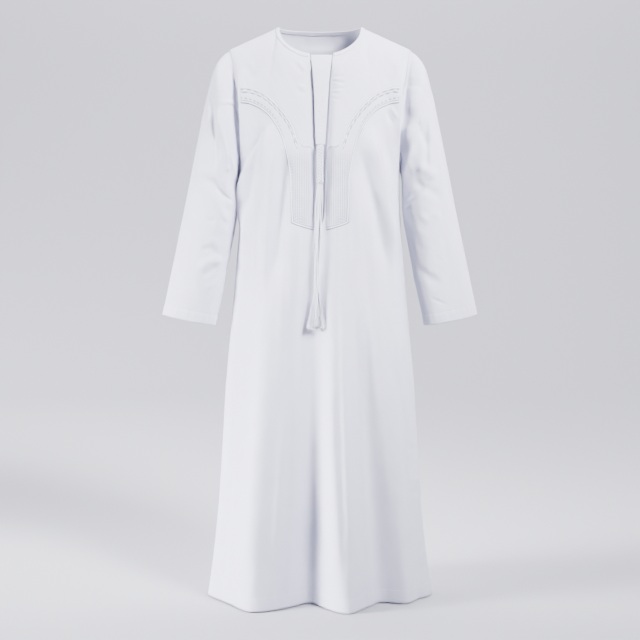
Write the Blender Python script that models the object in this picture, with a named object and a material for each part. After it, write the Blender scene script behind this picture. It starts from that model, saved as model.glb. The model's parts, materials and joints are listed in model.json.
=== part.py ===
"""White thobe robe, filled out and hanging, with open neck, sleeves and hem.

Metres, +Z up. The origin is midway between the two neck points, at their height, where the
robe is held. The front faces -Y. Left and right are as seen from the front.
"""

import math

import bmesh
import bpy
import numpy as np
from mathutils import Vector
from mathutils.bvhtree import BVHTree

# Driving dimensions
LENGTH = 1.45  # neck points down to the hem
WALL = 0.0014  # thickness of the cloth
SEAM = 0.0003  # gap between two sewn pieces
LAID = 0.0008  # gap under a piece that lies on a panel

UNDERARM = 0.36  # neck points down to the underarm
NECK_HALF = 0.103  # half width between the neck points
NECK_FRONT = 0.075  # neckline ahead of the neck points
NECK_DROP = 0.0705  # front neckline below the neck points
NECK_BACK = 0.070  # neckline behind the neck points
NECK_BACK_DROP = 0.008
SHOULDER_HALF = 0.226  # half width between the shoulder points
SHOULDER_DROP = 0.0555
NECK_SHARE = 0.5  # share of a half panel's top edge that the neckline takes

VENT_TOP = 1.314  # side vents, from here down to the hem
VENT_OPEN = 0.010
OPENING_END = 0.490  # front opening, from the neckline down to here
BINDING_WIDTH = 0.011
BINDING_WALL = 0.0009
BINDING_CLEAR = 0.0016
BINDING_INSET = 0.002  # from the edges of the opening
BINDING_STEPS = (14, 26, 14)  # left of the front, back, right of the front
BINDING_SLACK = 0.0016  # more clearance on the inside, where the panels turn sharply
BAND_WALL = 0.0012

ROWS_ABOVE = 10  # rows of a panel above the underarm
ROWS_OPENING = 3  # rows from the underarm to the end of the front opening
ROWS_BELOW = 16
FRONT_COLUMNS = 18  # columns of half a panel
BACK_COLUMNS = 14
SLEEVE_ROWS = 15


def table(columns, *rows):
    """A short table, as one array for each named column."""
    return dict(zip(columns.split(), np.array(rows, float).T))


# Level sections of the body: half width, depth ahead and behind, exponent of the superellipse.
BODY = table(
    "down half front back round",
    (0.36, 0.2000, 0.113, 0.112, 2.50),
    (0.46, 0.2015, 0.116, 0.117, 2.40),
    (0.60, 0.2130, 0.120, 0.122, 2.30),
    (0.74, 0.2250, 0.124, 0.128, 2.20),
    (0.90, 0.2405, 0.129, 0.136, 2.10),
    (1.08, 0.2520, 0.134, 0.145, 2.00),
    (1.24, 0.2640, 0.139, 0.153, 1.95),
    (1.35, 0.2760, 0.142, 0.159, 1.92),
    (1.45, 0.2905, 0.145, 0.165, 1.90),
)

# Handles of the curves from the top edge down to the underarm, from the centre (u = 0) to the
# armhole (u = 1): the place of the upper one, then the rise and pull of the lower one.
FRONT_YOKE = table(
    "u x y down rise pull",
    (0.00, 0.0000, -0.1020, 0.118, 0.150, 0.000),
    (0.25, 0.0740, -0.1000, 0.092, 0.150, 0.000),
    (0.50, 0.1220, -0.0820, 0.064, 0.150, 0.000),
    (0.75, 0.1680, -0.0690, 0.073, 0.130, 0.012),
    (1.00, 0.2140, -0.0660, 0.115, 0.045, 0.110),
)
BACK_YOKE = table(
    "u x y down rise pull",
    (0.00, 0.0000, 0.1120, 0.050, 0.150, 0.000),
    (0.25, 0.0740, 0.1080, 0.050, 0.150, 0.000),
    (0.50, 0.1220, 0.0880, 0.054, 0.150, 0.000),
    (0.75, 0.1680, 0.0720, 0.073, 0.130, 0.012),
    (1.00, 0.2140, 0.0660, 0.115, 0.045, 0.110),
)

# Long folds, each a soft ridge (out > 0) or valley along a path from where it starts to the hem.
FRONT_FOLDS = table(
    "start x_start x_half x_hem out_half out_hem width_half width_hem",
    (0.34, -0.080, -0.130, -0.160, 0.020, 0.058, 0.034, 0.050),
    (0.52, -0.012, -0.020, -0.036, -0.024, -0.068, 0.022, 0.036),
    (0.46, 0.022, 0.040, 0.060, 0.016, 0.052, 0.026, 0.038),
    (0.40, 0.070, 0.112, 0.165, -0.010, -0.030, 0.024, 0.036),
    (0.38, 0.120, 0.168, 0.215, 0.008, 0.010, 0.022, 0.026),
    (0.62, 0.190, 0.222, 0.252, -0.004, -0.020, 0.018, 0.022),
    (0.70, -0.205, -0.225, -0.245, -0.004, -0.012, 0.016, 0.020),
)
BACK_FOLDS = table(
    "start x_start x_half x_hem out_half out_hem width_half width_hem",
    (0.30, -0.120, -0.160, -0.200, 0.014, 0.036, 0.030, 0.040),
    (0.42, -0.070, -0.095, -0.115, -0.016, -0.044, 0.026, 0.036),
    (0.30, -0.020, -0.030, -0.035, 0.014, 0.042, 0.028, 0.040),
    (0.46, 0.030, 0.042, 0.050, -0.018, -0.046, 0.026, 0.036),
    (0.30, 0.085, 0.112, 0.130, 0.016, 0.040, 0.030, 0.040),
    (0.50, 0.150, 0.190, 0.215, -0.010, -0.026, 0.024, 0.030),
)

# Short creases of the body, from one point to another.
FRONT_CREASES = table(
    "x_a down_a x_b down_b out width",
    (-0.125, 0.250, -0.195, 0.560, 0.007, 0.016),
    (-0.150, 0.235, -0.205, 0.470, -0.005, 0.012),
    (0.120, 0.250, 0.170, 0.520, 0.006, 0.015),
    (0.150, 0.240, 0.200, 0.420, -0.005, 0.012),
)
BACK_CREASES = table(
    "x_a down_a x_b down_b out width",
    (-0.110, 0.220, -0.190, 0.520, 0.006, 0.018),
    (0.115, 0.220, 0.190, 0.500, 0.006, 0.018),
    (-0.020, 0.120, 0.070, 0.125, -0.003, 0.014),
)

# Slanting sections of a sleeve, from its outer to its inner side, with its depths there.
SLEEVE = table(
    "x_outer down_outer x_inner down_inner front back",
    (0.2560, 0.0860, 0.2035, 0.3680, 0.066, 0.074),
    (0.2800, 0.1560, 0.2065, 0.3880, 0.062, 0.072),
    (0.3010, 0.2500, 0.2072, 0.4180, 0.062, 0.070),
    (0.3190, 0.3350, 0.2078, 0.4520, 0.062, 0.067),
    (0.3370, 0.4250, 0.2140, 0.5000, 0.060, 0.063),
    (0.3570, 0.5200, 0.2250, 0.5560, 0.056, 0.056),
    (0.3800, 0.6290, 0.2440, 0.6540, 0.047, 0.046),
    (0.4000, 0.7200, 0.2640, 0.7480, 0.038, 0.036),
)
SLEEVE_FORWARD = 0.018  # how far the cuff hangs ahead of the armhole

# Creases of each sleeve, by height and by turn: 0 outer side, 90 front, 180 inner, 270 back.
SLEEVE_LEFT_CREASES = table(
    "turn_a down_a turn_b down_b out width",
    (62, 0.150, 128, 0.310, -0.012, 0.014),
    (72, 0.200, 96, 0.370, 0.008, 0.012),
    (60, 0.370, 130, 0.430, -0.008, 0.012),
    (100, 0.545, 150, 0.575, -0.007, 0.011),
    (85, 0.600, 150, 0.560, 0.006, 0.012),
    (240, 0.300, 300, 0.420, -0.008, 0.014),
    (210, 0.520, 290, 0.560, -0.006, 0.013),
)
SLEEVE_RIGHT_CREASES = table(
    "turn_a down_a turn_b down_b out width",
    (110, 0.190, 62, 0.300, -0.010, 0.014),
    (100, 0.340, 62, 0.372, 0.009, 0.014),
    (120, 0.380, 60, 0.420, -0.008, 0.013),
    (110, 0.480, 70, 0.460, 0.006, 0.012),
    (95, 0.640, 145, 0.600, -0.006, 0.012),
    (230, 0.280, 300, 0.400, -0.008, 0.014),
    (220, 0.540, 290, 0.520, -0.006, 0.013),
)

# Edges of the front opening and of the tab that hangs over it.
OPENING = table(
    "down left right",
    (0.00, -0.0275, 0.0345),
    (0.07, -0.0270, 0.0340),
    (0.12, -0.0245, 0.0300),
    (0.19, -0.0215, 0.0272),
    (0.29, -0.0198, 0.0246),
    (0.43, -0.0190, 0.0215),
    (0.47, -0.0130, 0.0150),
    (0.49, -0.0010, 0.0020),
)
TAB = table(
    "down left right",
    (0.0710, -0.0236, 0.0305),
    (0.1200, -0.0180, 0.0258),
    (0.1780, -0.0128, 0.0200),
    (0.2300, -0.0122, 0.0148),
    (0.2600, -0.0118, 0.0118),
    (0.2900, -0.0062, 0.0076),
)
TAB_WALL = 0.0022
UNDERLAY_HALF = 0.044
UNDERLAY_SUNK = 0.011  # how far the strip behind the opening stands back

# Chest bands, from the armhole to the foot of the opening: inner edge and outer edge.
BAND = table(
    "x_inner down_inner x_outer down_outer",
    (0.1960, 0.1490, 0.1960, 0.1890),
    (0.1760, 0.1500, 0.1720, 0.1925),
    (0.1430, 0.1620, 0.1400, 0.2080),
    (0.1110, 0.1870, 0.1160, 0.2330),
    (0.0840, 0.2170, 0.0970, 0.2670),
    (0.0660, 0.2480, 0.0850, 0.3050),
    (0.0540, 0.2830, 0.0775, 0.3450),
    (0.0400, 0.2950, 0.0735, 0.3750),
    (0.0255, 0.3010, 0.0705, 0.4050),
    (0.0245, 0.3600, 0.0675, 0.4400),
    (0.0245, 0.4300, 0.0650, 0.4790),
    (0.0225, 0.4650, 0.0440, 0.4890),
    (0.0205, 0.4720, 0.0215, 0.4980),
)
BAND_STATIONS = 34
BAND_COLUMNS = 4

HEAD_RADIUS = 0.0088  # tassel: wrapped head, then the loose strands
HEAD_END = 0.3850
HEAD = table(
    "down girth",
    (0.3810, 1.06),
    (0.3720, 0.98),
    (0.3400, 0.96),
    (0.3080, 0.98),
    (0.2970, 1.00),
    (0.2903, 0.72),
)
STRANDS_ACROSS = 7
STRANDS_DEEP = 5
STRANDS = table(
    "down x y half_across half_deep",
    (0.3850, 0.0000, -0.1187, 0.0074, 0.0074),
    (0.4100, -0.0005, -0.1230, 0.0120, 0.0080),
    (0.4400, -0.0015, -0.1290, 0.0125, 0.0080),
    (0.5250, -0.0050, -0.1360, 0.0115, 0.0085),
    (0.6300, -0.0085, -0.1400, 0.0090, 0.0080),
    (0.6900, -0.0092, -0.1410, 0.0110, 0.0085),
    (0.7500, -0.0092, -0.1420, 0.0240, 0.0120),
)
STRAND_HALF = 0.00075
STRAND_STEPS = 6
STRAND_TIP = 0.755  # mean length, reached unevenly
STRAND_UNEVEN = 0.008
ROOT_GAP = 0.00045  # from each strand's root to the edge of its place on the head

CLOTH_COLOUR = (0.80, 0.80, 0.87, 1.0)
THREAD_COLOUR = (0.86, 0.86, 0.92, 1.0)
SHADED_COLOUR = (0.70, 0.70, 0.77, 1.0)


def smooth(at, known, values):
    """Cubic curve through the rows of a table, level beyond its first and last rows."""
    at = np.clip(at, known[0], known[-1])
    slopes = np.gradient(values, known)
    row = np.clip(np.searchsorted(known, at) - 1, 0, len(known) - 2)
    step = known[row + 1] - known[row]
    t = (at - known[row]) / step
    near = (1 + 2 * t) * (1 - t) ** 2 * values[row] + t * (1 - t) ** 2 * step * slopes[row]
    far = t * t * (3 - 2 * t) * values[row + 1] + t * t * (t - 1) * step * slopes[row + 1]
    return near + far


def unit(vectors):
    return vectors / np.linalg.norm(vectors, axis=-1, keepdims=True)


def ease(t):
    """0 below 0, 1 above 1, and a smooth step between."""
    t = np.clip(t, 0.0, 1.0)
    return t * t * (3 - 2 * t)


def even_angles():
    """Angles round a typical quarter section, for even steps along its edge."""
    angle = np.linspace(0.0, math.pi / 2, 600)
    x = np.sin(angle) ** (2 / 2.2)
    y = 0.52 * np.cos(angle) ** (2 / 2.2)
    run = np.concatenate([[0.0], np.cumsum(np.hypot(np.diff(x), np.diff(y)))])
    return run / run[-1], angle


EVEN_SHARE, EVEN_ANGLE = even_angles()


def ring(u, down, facing):
    """Level superellipse: u runs from -1 to 1, from side seam to side seam."""
    half = smooth(down, BODY["down"], BODY["half"])
    depth = smooth(down, BODY["down"], BODY["front" if facing < 0 else "back"])
    power = 2 / smooth(down, BODY["down"], BODY["round"])
    angle = np.interp(np.abs(u), EVEN_SHARE, EVEN_ANGLE)
    gap = SEAM + VENT_OPEN * ease((down - VENT_TOP) / (LENGTH - VENT_TOP))
    x = np.sign(u) * half * np.sin(angle) ** power
    y = facing * (depth * np.maximum(np.cos(angle), 0.0) ** power + gap / 2)
    return np.stack([x, y, -down + 0 * x], axis=-1)


def top_edge(u, facing):
    """Neckline from the centre to the neck point, then the shoulder seam to the armhole."""
    across = np.abs(u)
    turn = np.clip(across / NECK_SHARE, 0.0, 1.0) * math.pi / 2
    ahead = np.maximum(np.cos(turn), 0.0)
    out = np.clip((across - NECK_SHARE) / (1 - NECK_SHARE), 0.0, 1.0)
    depth, drop = (NECK_FRONT, NECK_DROP) if facing < 0 else (NECK_BACK, NECK_BACK_DROP)
    x = NECK_HALF * np.sin(turn) + (SHOULDER_HALF - NECK_HALF) * out
    y = facing * (depth * ahead**0.8 + SEAM / 2)
    z = -drop * ahead - SHOULDER_DROP * out
    return np.stack([np.sign(u) * x, y, z], axis=-1)


def mirrored(rows, name, sign):
    """A column of a yoke table for u from -0.25, so that it runs smoothly over the centre."""
    values = rows[name]
    return np.concatenate([[sign * values[1]], values])


def yoke(u, t, facing):
    """Cubic curves from the top edge (t = 0) down to the ring at the underarm (t = 1)."""
    rows = FRONT_YOKE if facing < 0 else BACK_YOKE
    known, across = mirrored(rows, "u", -1.0), np.abs(u)
    x, y, down, rise, pull = (
        smooth(across, known, mirrored(rows, name, sign))
        for name, sign in (("x", -1.0), ("y", 1.0), ("down", 1.0), ("rise", 1.0), ("pull", 1.0))
    )
    step = 0.01
    first = top_edge(u, facing)
    last = ring(u, UNDERARM + 0 * u, facing)
    slope = (ring(u, UNDERARM + step + 0 * u, facing) - last) / step
    second = np.stack([np.sign(u) * x, y, -down], axis=-1)
    pulled = np.stack([0 * u, facing * pull, 0 * u], axis=-1)
    third = last - rise[..., None] * slope + pulled
    t = t[..., None]
    return (
        (1 - t) ** 3 * first
        + 3 * (1 - t) ** 2 * t * second
        + 3 * (1 - t) * t * t * third
        + t**3 * last
    )


def smooth_body(u, v, facing):
    """The body without folds: v is 0 at the top edge, 1 at the underarm and 2 at the hem."""
    down = UNDERARM + (LENGTH - UNDERARM) * np.clip(v - 1, 0.0, 1.0)
    above = (v < 1.0)[..., None]
    return np.where(above, yoke(u, np.clip(v, 0.0, 1.0), facing), ring(u, down, facing))


def fold_depth(folds, x, down):
    """Sum of the long folds: a bell across each one, growing from its start to the hem."""
    depth = 0 * x
    for start, xs, xh, xe, out_half, out_hem, width_half, width_hem in zip(*folds.values()):
        known = np.array([start, (start + LENGTH) / 2, LENGTH])
        path = smooth(down, known, np.array([xs, xh, xe]))
        out = smooth(down, known, np.array([0.0, out_half, out_hem]))
        width = np.interp(down, known[1:], [width_half, width_hem])
        grown = ease((down - start) / 0.08)
        depth = depth + out * grown * np.exp(-(((x - path) / width) ** 2))
    return depth


def crease_depth(creases, across, down, scale=1.0):
    """Sum of the short creases: a bell across each line, which dies away at its two ends."""
    depth = 0 * across
    for a0, d0, a1, d1, out, width in zip(*creases.values()):
        run_across, run_down = (a1 - a0) * scale, d1 - d0
        length = math.hypot(run_across, run_down)
        off_across, off_down = (across - a0) * scale, down - d0
        along = (off_across * run_across + off_down * run_down) / length
        aside = (off_across * run_down - off_down * run_across) / length
        ends = ease(along / (0.35 * length) + 0.3) * ease((length - along) / (0.35 * length) + 0.3)
        depth = depth + out * ends * np.exp(-((aside / width) ** 2))
    return depth


def grid_normals(grid, wrap=False):
    """Unit normals of a grid of points: down its rows crossed with along its columns."""
    down = np.gradient(grid, axis=0)
    if wrap:
        along = np.roll(grid, -1, axis=1) - np.roll(grid, 1, axis=1)
    else:
        along = np.gradient(grid, axis=1)
    return unit(np.cross(down, along))


def body_grid(u, v, facing):
    """Grid of points on the outside of a panel, with its folds pushed out along the normals."""
    base = smooth_body(u, v, facing)
    outward = -facing * grid_normals(base)
    outward[..., 2] *= 1 - ease((v - 0.7) / 0.3)
    outward = unit(outward)
    x, down = base[..., 0], -base[..., 2]
    folds, creases = (
        (FRONT_FOLDS, FRONT_CREASES) if facing < 0 else (BACK_FOLDS, BACK_CREASES)
    )
    depth = fold_depth(folds, x, down) + crease_depth(creases, x, down)
    inside = 1 - ease((np.abs(u) - 0.82) / 0.18)
    return base + outward * (depth * inside)[..., None]


def row_values():
    """Row values v of a panel, with one row at the end of the front opening."""
    foot = 1 + (OPENING_END - UNDERARM) / (LENGTH - UNDERARM)
    above = np.linspace(0.0, 1.0, ROWS_ABOVE + 1)
    middle = np.linspace(1.0, foot, ROWS_OPENING + 1)[1:]
    below = np.linspace(foot, 2.0, ROWS_BELOW + 1)[1:]
    return np.concatenate([above, middle, below])


def opening_share(v, side):
    """The u of the left or right edge of the front opening, and 0 below its end."""
    probe = 0.05
    near = smooth_body(np.full_like(v, probe), v, -1.0)
    far = smooth_body(np.full_like(v, -probe), v, -1.0)
    per_u = (near[..., 0] - far[..., 0]) / (2 * probe)
    down = -near[..., 2]
    x = smooth(down, OPENING["down"], OPENING[side])
    return np.where(down < OPENING_END - 1e-4, x / per_u, 0.0)


def front_shares(v):
    """Columns of the front: armhole, neck point, left edge, right edge, neck point, armhole."""
    half = FRONT_COLUMNS // 2
    outer = np.linspace(-1.0, -NECK_SHARE, half + 1)[None, :-1] + 0 * v[:, None]
    step = np.linspace(0.0, 1.0, half + 1)[None, :]
    left = -NECK_SHARE + step * (opening_share(v, "left")[:, None] + NECK_SHARE)
    right = -NECK_SHARE + step * (-opening_share(v, "right")[:, None] + NECK_SHARE)
    return np.concatenate([outer, left, -right[:, ::-1], -outer[:, ::-1]], axis=1)


def armhole_inward(side, front, back, sleeve):
    """Inward ways round an armhole, square to its edge and halfway between panel and sleeve."""
    edge = -1 if side > 0 else 0
    ahead = grid_normals(front)[: ROWS_ABOVE + 1, edge]
    behind = -grid_normals(back)[: ROWS_ABOVE + 1, edge]
    panel = np.concatenate([ahead[:-1], behind[:0:-1]])
    panel[0] = unit(ahead[0] + behind[0])
    panel[ROWS_ABOVE] = unit(ahead[-1] + behind[-1])
    inward = -unit(panel - side * grid_normals(sleeve, wrap=True)[0])
    tangent = unit(np.roll(sleeve[0], -1, axis=0) - np.roll(sleeve[0], 1, axis=0))
    inward -= tangent * (inward * tangent).sum(axis=-1, keepdims=True)
    return unit(inward)


def shoulder_inward(side):
    """Down, square to the shoulder seam."""
    slope = SHOULDER_DROP / (SHOULDER_HALF - NECK_HALF)
    return np.array([-slope * side, 0.0, -1.0]) / math.hypot(slope, 1.0)


def sleeve_turns():
    """Turn of each column of a sleeve, in radians: 0 outer, then front, inner and back."""
    return np.arange(2 * ROWS_ABOVE) * math.pi / ROWS_ABOVE


def through(keys, share):
    """Points on a Catmull-Rom curve through rows of key points, at shares from 0 to 1."""
    span = np.linalg.norm(np.diff(keys, axis=0), axis=-1).mean(axis=1)
    known = np.concatenate([[0.0], np.cumsum(span)]) / span.sum()
    flat = keys.reshape(len(keys), -1)
    return np.stack([smooth(share, known, column) for column in flat.T], axis=-1).reshape(
        len(share), *keys.shape[1:]
    )


def sleeve_grid(side, front, back):
    """Outside of one sleeve, from the armhole edge of both panels to the cuff."""
    edge = -1 if side > 0 else 0
    loop = np.concatenate([front[:ROWS_ABOVE, edge], back[ROWS_ABOVE:0:-1, edge]])
    loop[0] = (front[0, edge] + back[0, edge]) / 2
    loop[ROWS_ABOVE] = (front[ROWS_ABOVE, edge] + back[ROWS_ABOVE, edge]) / 2
    turn = sleeve_turns()
    columns = {name: values[:, None] for name, values in SLEEVE.items()}
    wide, high = np.cos(turn), np.sin(turn)
    x = (columns["x_outer"] + columns["x_inner"]) / 2
    x = x + (columns["x_outer"] - columns["x_inner"]) / 2 * wide
    down = (columns["down_outer"] + columns["down_inner"]) / 2
    down = down + (columns["down_outer"] - columns["down_inner"]) / 2 * wide
    depth = np.where(high > 0, -columns["front"] * high, -columns["back"] * high)
    ahead = -SLEEVE_FORWARD * ease((down - 0.3) / 0.45)
    rings = np.stack([side * x, depth + ahead, -down], axis=-1)
    base = through(np.concatenate([loop[None], rings]), np.linspace(0, 1, SLEEVE_ROWS + 1) ** 1.15)
    creases = SLEEVE_RIGHT_CREASES if side > 0 else SLEEVE_LEFT_CREASES
    radius = 0.065
    degrees = np.degrees(turn)[None, :] + 0 * base[..., 0]
    down = -base[..., 2]
    depth = crease_depth(creases, degrees, down, scale=math.radians(radius))
    depth *= ease(np.arange(SLEEVE_ROWS + 1) / 3)[:, None]
    return base - side * grid_normals(base, wrap=True) * depth[..., None]


def grid_faces(index, wrap=False, flip=False):
    """Quads over a grid of vertex indices."""
    if wrap:
        index = np.concatenate([index, index[:, :1]], axis=1)
    corners = [index[:-1, :-1], index[1:, :-1], index[1:, 1:], index[:-1, 1:]]
    if flip:
        corners.reverse()
    return np.stack(corners, axis=-1).reshape(-1, 4)


def thicken(points, faces, inward):
    """Closed wall: the faces, their copies moved by inward and turned round, and the rim."""
    count = len(points)
    edges = np.concatenate([faces[:, [i, (i + 1) % 4]] for i in range(4)])
    known = set(map(tuple, edges.tolist()))
    rim = np.array([edge for edge in edges.tolist() if (edge[1], edge[0]) not in known])
    walls = np.stack([rim[:, 1], rim[:, 0], rim[:, 0] + count, rim[:, 1] + count], axis=-1)
    return (
        np.concatenate([points, points + inward]),
        np.concatenate([faces, faces[:, ::-1] + count, walls]),
    )


def cloth_material(name, colour, roughness):
    material = bpy.data.materials.new(name)
    material.use_nodes = True
    shader = material.node_tree.nodes["Principled BSDF"]
    shader.inputs["Base Color"].default_value = colour
    shader.inputs["Roughness"].default_value = roughness
    shader.inputs["Metallic"].default_value = 0.0
    material.diffuse_color = colour
    return material


def add_piece(name, points, faces, colour=CLOTH_COLOUR, roughness=0.85):
    """One named object, without unused points, with its own material."""
    used, faces = np.unique(faces, return_inverse=True)
    faces = faces.reshape(-1, 4)
    mesh = bpy.data.meshes.new(name)
    mesh.from_pydata(np.asarray(points)[used].tolist(), [], faces.tolist())
    mesh.materials.append(cloth_material(name + "_cloth", colour, roughness))
    mesh.shade_smooth()
    piece = bpy.data.objects.new(name, mesh)
    bpy.context.scene.collection.objects.link(piece)
    return piece


def panel_inward(grid, facing, armholes):
    """Offsets to the inside of a panel, shared with its neighbours along each seam."""
    inward = facing * grid_normals(grid)
    for place, x in enumerate(grid[0, :, 0]):
        if abs(x) >= NECK_HALF - 1e-6:
            inward[0, place] = shoulder_inward(np.sign(x))
    for column, side in ((0, -1), (-1, 1)):
        loop = armholes[side]
        inward[ROWS_ABOVE + 1 :, column] = (-side, 0.0, 0.0)
        ahead = loop if facing < 0 else np.roll(loop[::-1], 1, axis=0)
        inward[: ROWS_ABOVE + 1, column] = ahead[: ROWS_ABOVE + 1]
    return inward * WALL


def make_front(grid, inward):
    """Front panel: two halves, joined below the front opening."""
    rows, columns = grid.shape[:2]
    middle = columns // 2
    index = np.arange(rows * columns).reshape(rows, columns)
    foot = ROWS_ABOVE + ROWS_OPENING
    index[foot:, middle] = index[foot:, middle - 1]
    faces = np.concatenate([grid_faces(index[:, :middle]), grid_faces(index[:, middle:])])
    points, faces = thicken(grid.reshape(-1, 3), faces, inward.reshape(-1, 3))
    return add_piece("front_panel", points, faces)


def make_back(grid, inward):
    index = np.arange(grid[..., 0].size).reshape(grid.shape[:2])
    points, faces = thicken(grid.reshape(-1, 3), grid_faces(index, flip=True), inward.reshape(-1, 3))
    return add_piece("back_panel", points, faces)


def make_sleeve(name, side, grid, start_inward):
    """Sleeve: a tube, whose first ring stands a seam's gap away from the armhole."""
    inward = side * grid_normals(grid, wrap=True)
    inward[0] = start_inward
    tangent = np.roll(grid[0], -1, axis=0) - np.roll(grid[0], 1, axis=0)
    away = unit(np.cross(start_inward, tangent))
    away *= np.sign((away * (grid[1] - grid[0])).sum(axis=-1, keepdims=True))
    grid = grid.copy()
    grid[0] += away * SEAM
    index = np.arange(grid[..., 0].size).reshape(grid.shape[:2])
    faces = grid_faces(index, wrap=True, flip=side > 0)
    points, faces = thicken(grid.reshape(-1, 3), faces, inward.reshape(-1, 3) * WALL)
    return add_piece(name, points, faces)


def neck_loop(front, back, front_inward, back_inward):
    """The neck edge, from one side of the opening round to the other, and its outward ways."""
    middle = front.shape[1] // 2
    reach = FRONT_COLUMNS // 2
    first = BACK_COLUMNS // 2
    left = slice(middle - 1, middle - 2 - reach, -1)
    right = slice(middle + reach, middle - 1, -1)
    behind = slice(first + 1, back.shape[1] - first - 1)
    edge = np.concatenate([front[0, left], back[0, behind], front[0, right]])
    inward = [front_inward[0, left], back_inward[0, behind], front_inward[0, right]]
    return edge, -np.concatenate(inward) / WALL


def on_panels(points, panels):
    """The places on the built panels below some points, and the ways that they face there."""
    graph = bpy.context.evaluated_depsgraph_get()
    trees = [BVHTree.FromObject(panel, graph) for panel in panels]
    above, fall = Vector((0.0, 0.0, 0.1)), Vector((0.0, 0.0, -1.0))
    past_seam = Vector((0.0, 2 * SEAM, 0.0))
    found = []
    for point in points:
        starts = [Vector(point) + above + way * past_seam for way in (-1, 1)]
        hits = [tree.ray_cast(start, fall) for tree in trees for start in starts]
        found.append(min((hit for hit in hits if hit[0]), key=lambda hit: hit[3])[:2])
    places, ways = np.array(found).transpose(1, 0, 2)
    around = np.concatenate([ways[:1], ways, ways[-1:]])
    return places, unit(around[:-2] + 2 * around[1:-1] + around[2:])


def even_steps(data, run, stops):
    """Rows of data read again along its run: even steps between each two stops."""
    at = [np.linspace(a, b, count + 1)[1:] for a, b, count in zip(stops, stops[1:], BINDING_STEPS)]
    at = np.concatenate([[stops[0]], *at])
    return np.stack([np.interp(at, run, column) for column in data.T], axis=-1)


def make_binding(edge, outward, panels):
    """Neck binding: a strip folded over the neck edge of both panels."""
    run = np.concatenate([[0.0], np.cumsum(np.linalg.norm(np.diff(edge, axis=0), axis=1))])
    corners = np.flatnonzero(np.abs(edge[:, 0]) > NECK_HALF - 1e-6)
    stops = [BINDING_INSET, *run[corners], run[-1] - BINDING_INSET]
    edge, outward = even_steps(edge, run, stops), unit(even_steps(outward, run, stops))
    tangent = np.gradient(edge, axis=0)
    aside = unit(tangent[:, [1, 0, 2]] * np.array([1.0, -1.0, 0.0]))
    aside *= np.sign((aside * edge).sum(axis=-1, keepdims=True))
    reach = aside * outward[:, 2:] * BINDING_WIDTH
    half, half_way = on_panels(edge + reach / 2, panels)
    low, low_way = on_panels(edge + reach, panels)
    fall = unit(half - edge)

    def folded(clear):
        top = edge - fall * clear - outward * WALL / 2
        above = [low + low_way * clear, half + half_way * clear, edge + outward * clear]
        clear += WALL + BINDING_SLACK
        under = [edge - outward * clear, half - half_way * clear, low - low_way * clear]
        return np.stack(above + [top] + under)

    outer, inner = folded(BINDING_CLEAR + BINDING_WALL), folded(BINDING_CLEAR)
    index = np.arange(outer[..., 0].size).reshape(outer.shape[:2])
    points, faces = thicken(
        outer.reshape(-1, 3), grid_faces(index), (inner - outer).reshape(-1, 3)
    )
    return add_piece("neck_binding", points, faces, THREAD_COLOUR)


def front_depth(x, down):
    """The y of the front surface, without folds, at places near its centre."""
    v = np.full_like(x, 0.5)
    u = 0 * x
    step = 1e-3
    for _ in range(12):
        here = smooth_body(u, v, -1.0)
        below = smooth_body(u, v + step, -1.0)
        v = np.clip(v + (here[..., 2] + down) / (here[..., 2] - below[..., 2]) * step, 0.0, 2.0)
        beside = smooth_body(u + step, v, -1.0)
        u = u + (x - here[..., 0]) / (beside[..., 0] - here[..., 0]) * step
    return smooth_body(u, v, -1.0)[..., 1]


def strip_grid(down, left, right, columns):
    """Level places between two edges, and the front surface's depth at them."""
    share = np.linspace(0.0, 1.0, columns + 1)[None, :]
    x = left[:, None] + (right - left)[:, None] * share
    down = down[:, None] + 0 * x
    return x, down, front_depth(x, down), share


def neck_dip(x):
    """How far the front neckline lies below the neck points at a place across."""
    return NECK_DROP * np.sqrt(1 - (x / NECK_HALF) ** 2)


def make_underlay():
    """Strip behind the front opening, sunk between the opening's edges."""
    top = NECK_DROP + BINDING_WIDTH + 0.003
    down = np.concatenate([np.linspace(top, 0.49, 15), [0.512]])
    x, level, y, share = strip_grid(down, 0 * down - UNDERLAY_HALF, 0 * down + UNDERLAY_HALF, 10)
    level = level + (neck_dip(x) - NECK_DROP) * (1 - ease((level - top) / 0.05))
    y = front_depth(x, level)
    across = ease((1 - np.abs(2 * share - 1)) / 0.5)
    along = ease((level - top) / 0.06) * ease((0.50 - level) / 0.05)
    behind = WALL + LAID + UNDERLAY_SUNK * across * along
    outer = np.stack([x, y + behind, -level], axis=-1)
    inward = -np.gradient(outer, axis=1)[..., [1, 0, 2]] * np.array([1.0, -1.0, 0.0])
    inward = unit(inward)
    index = np.arange(x.size).reshape(x.shape)
    points, faces = thicken(outer.reshape(-1, 3), grid_faces(index), inward.reshape(-1, 3) * WALL)
    return add_piece("placket_underlay", points, faces, SHADED_COLOUR)


def make_tab():
    """Tapered tab that hangs from the neckline over the front opening."""
    down = np.linspace(TAB["down"][0], TAB["down"][-1], 13)
    left = smooth(down, TAB["down"], TAB["left"])
    right = smooth(down, TAB["down"], TAB["right"])
    x, level, y, share = strip_grid(down, left, right, 4)
    crown = 0.0015 * (1 - (2 * share - 1) ** 2)
    outer = np.stack([x, y - 0.0006 - crown, -level], axis=-1)
    index = np.arange(x.size).reshape(x.shape)
    inward = np.array([0.0, TAB_WALL, 0.0]) + 0 * outer
    points, faces = thicken(outer.reshape(-1, 3), grid_faces(index), inward.reshape(-1, 3))
    return add_piece("placket_tab", points, faces, THREAD_COLOUR)


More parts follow.
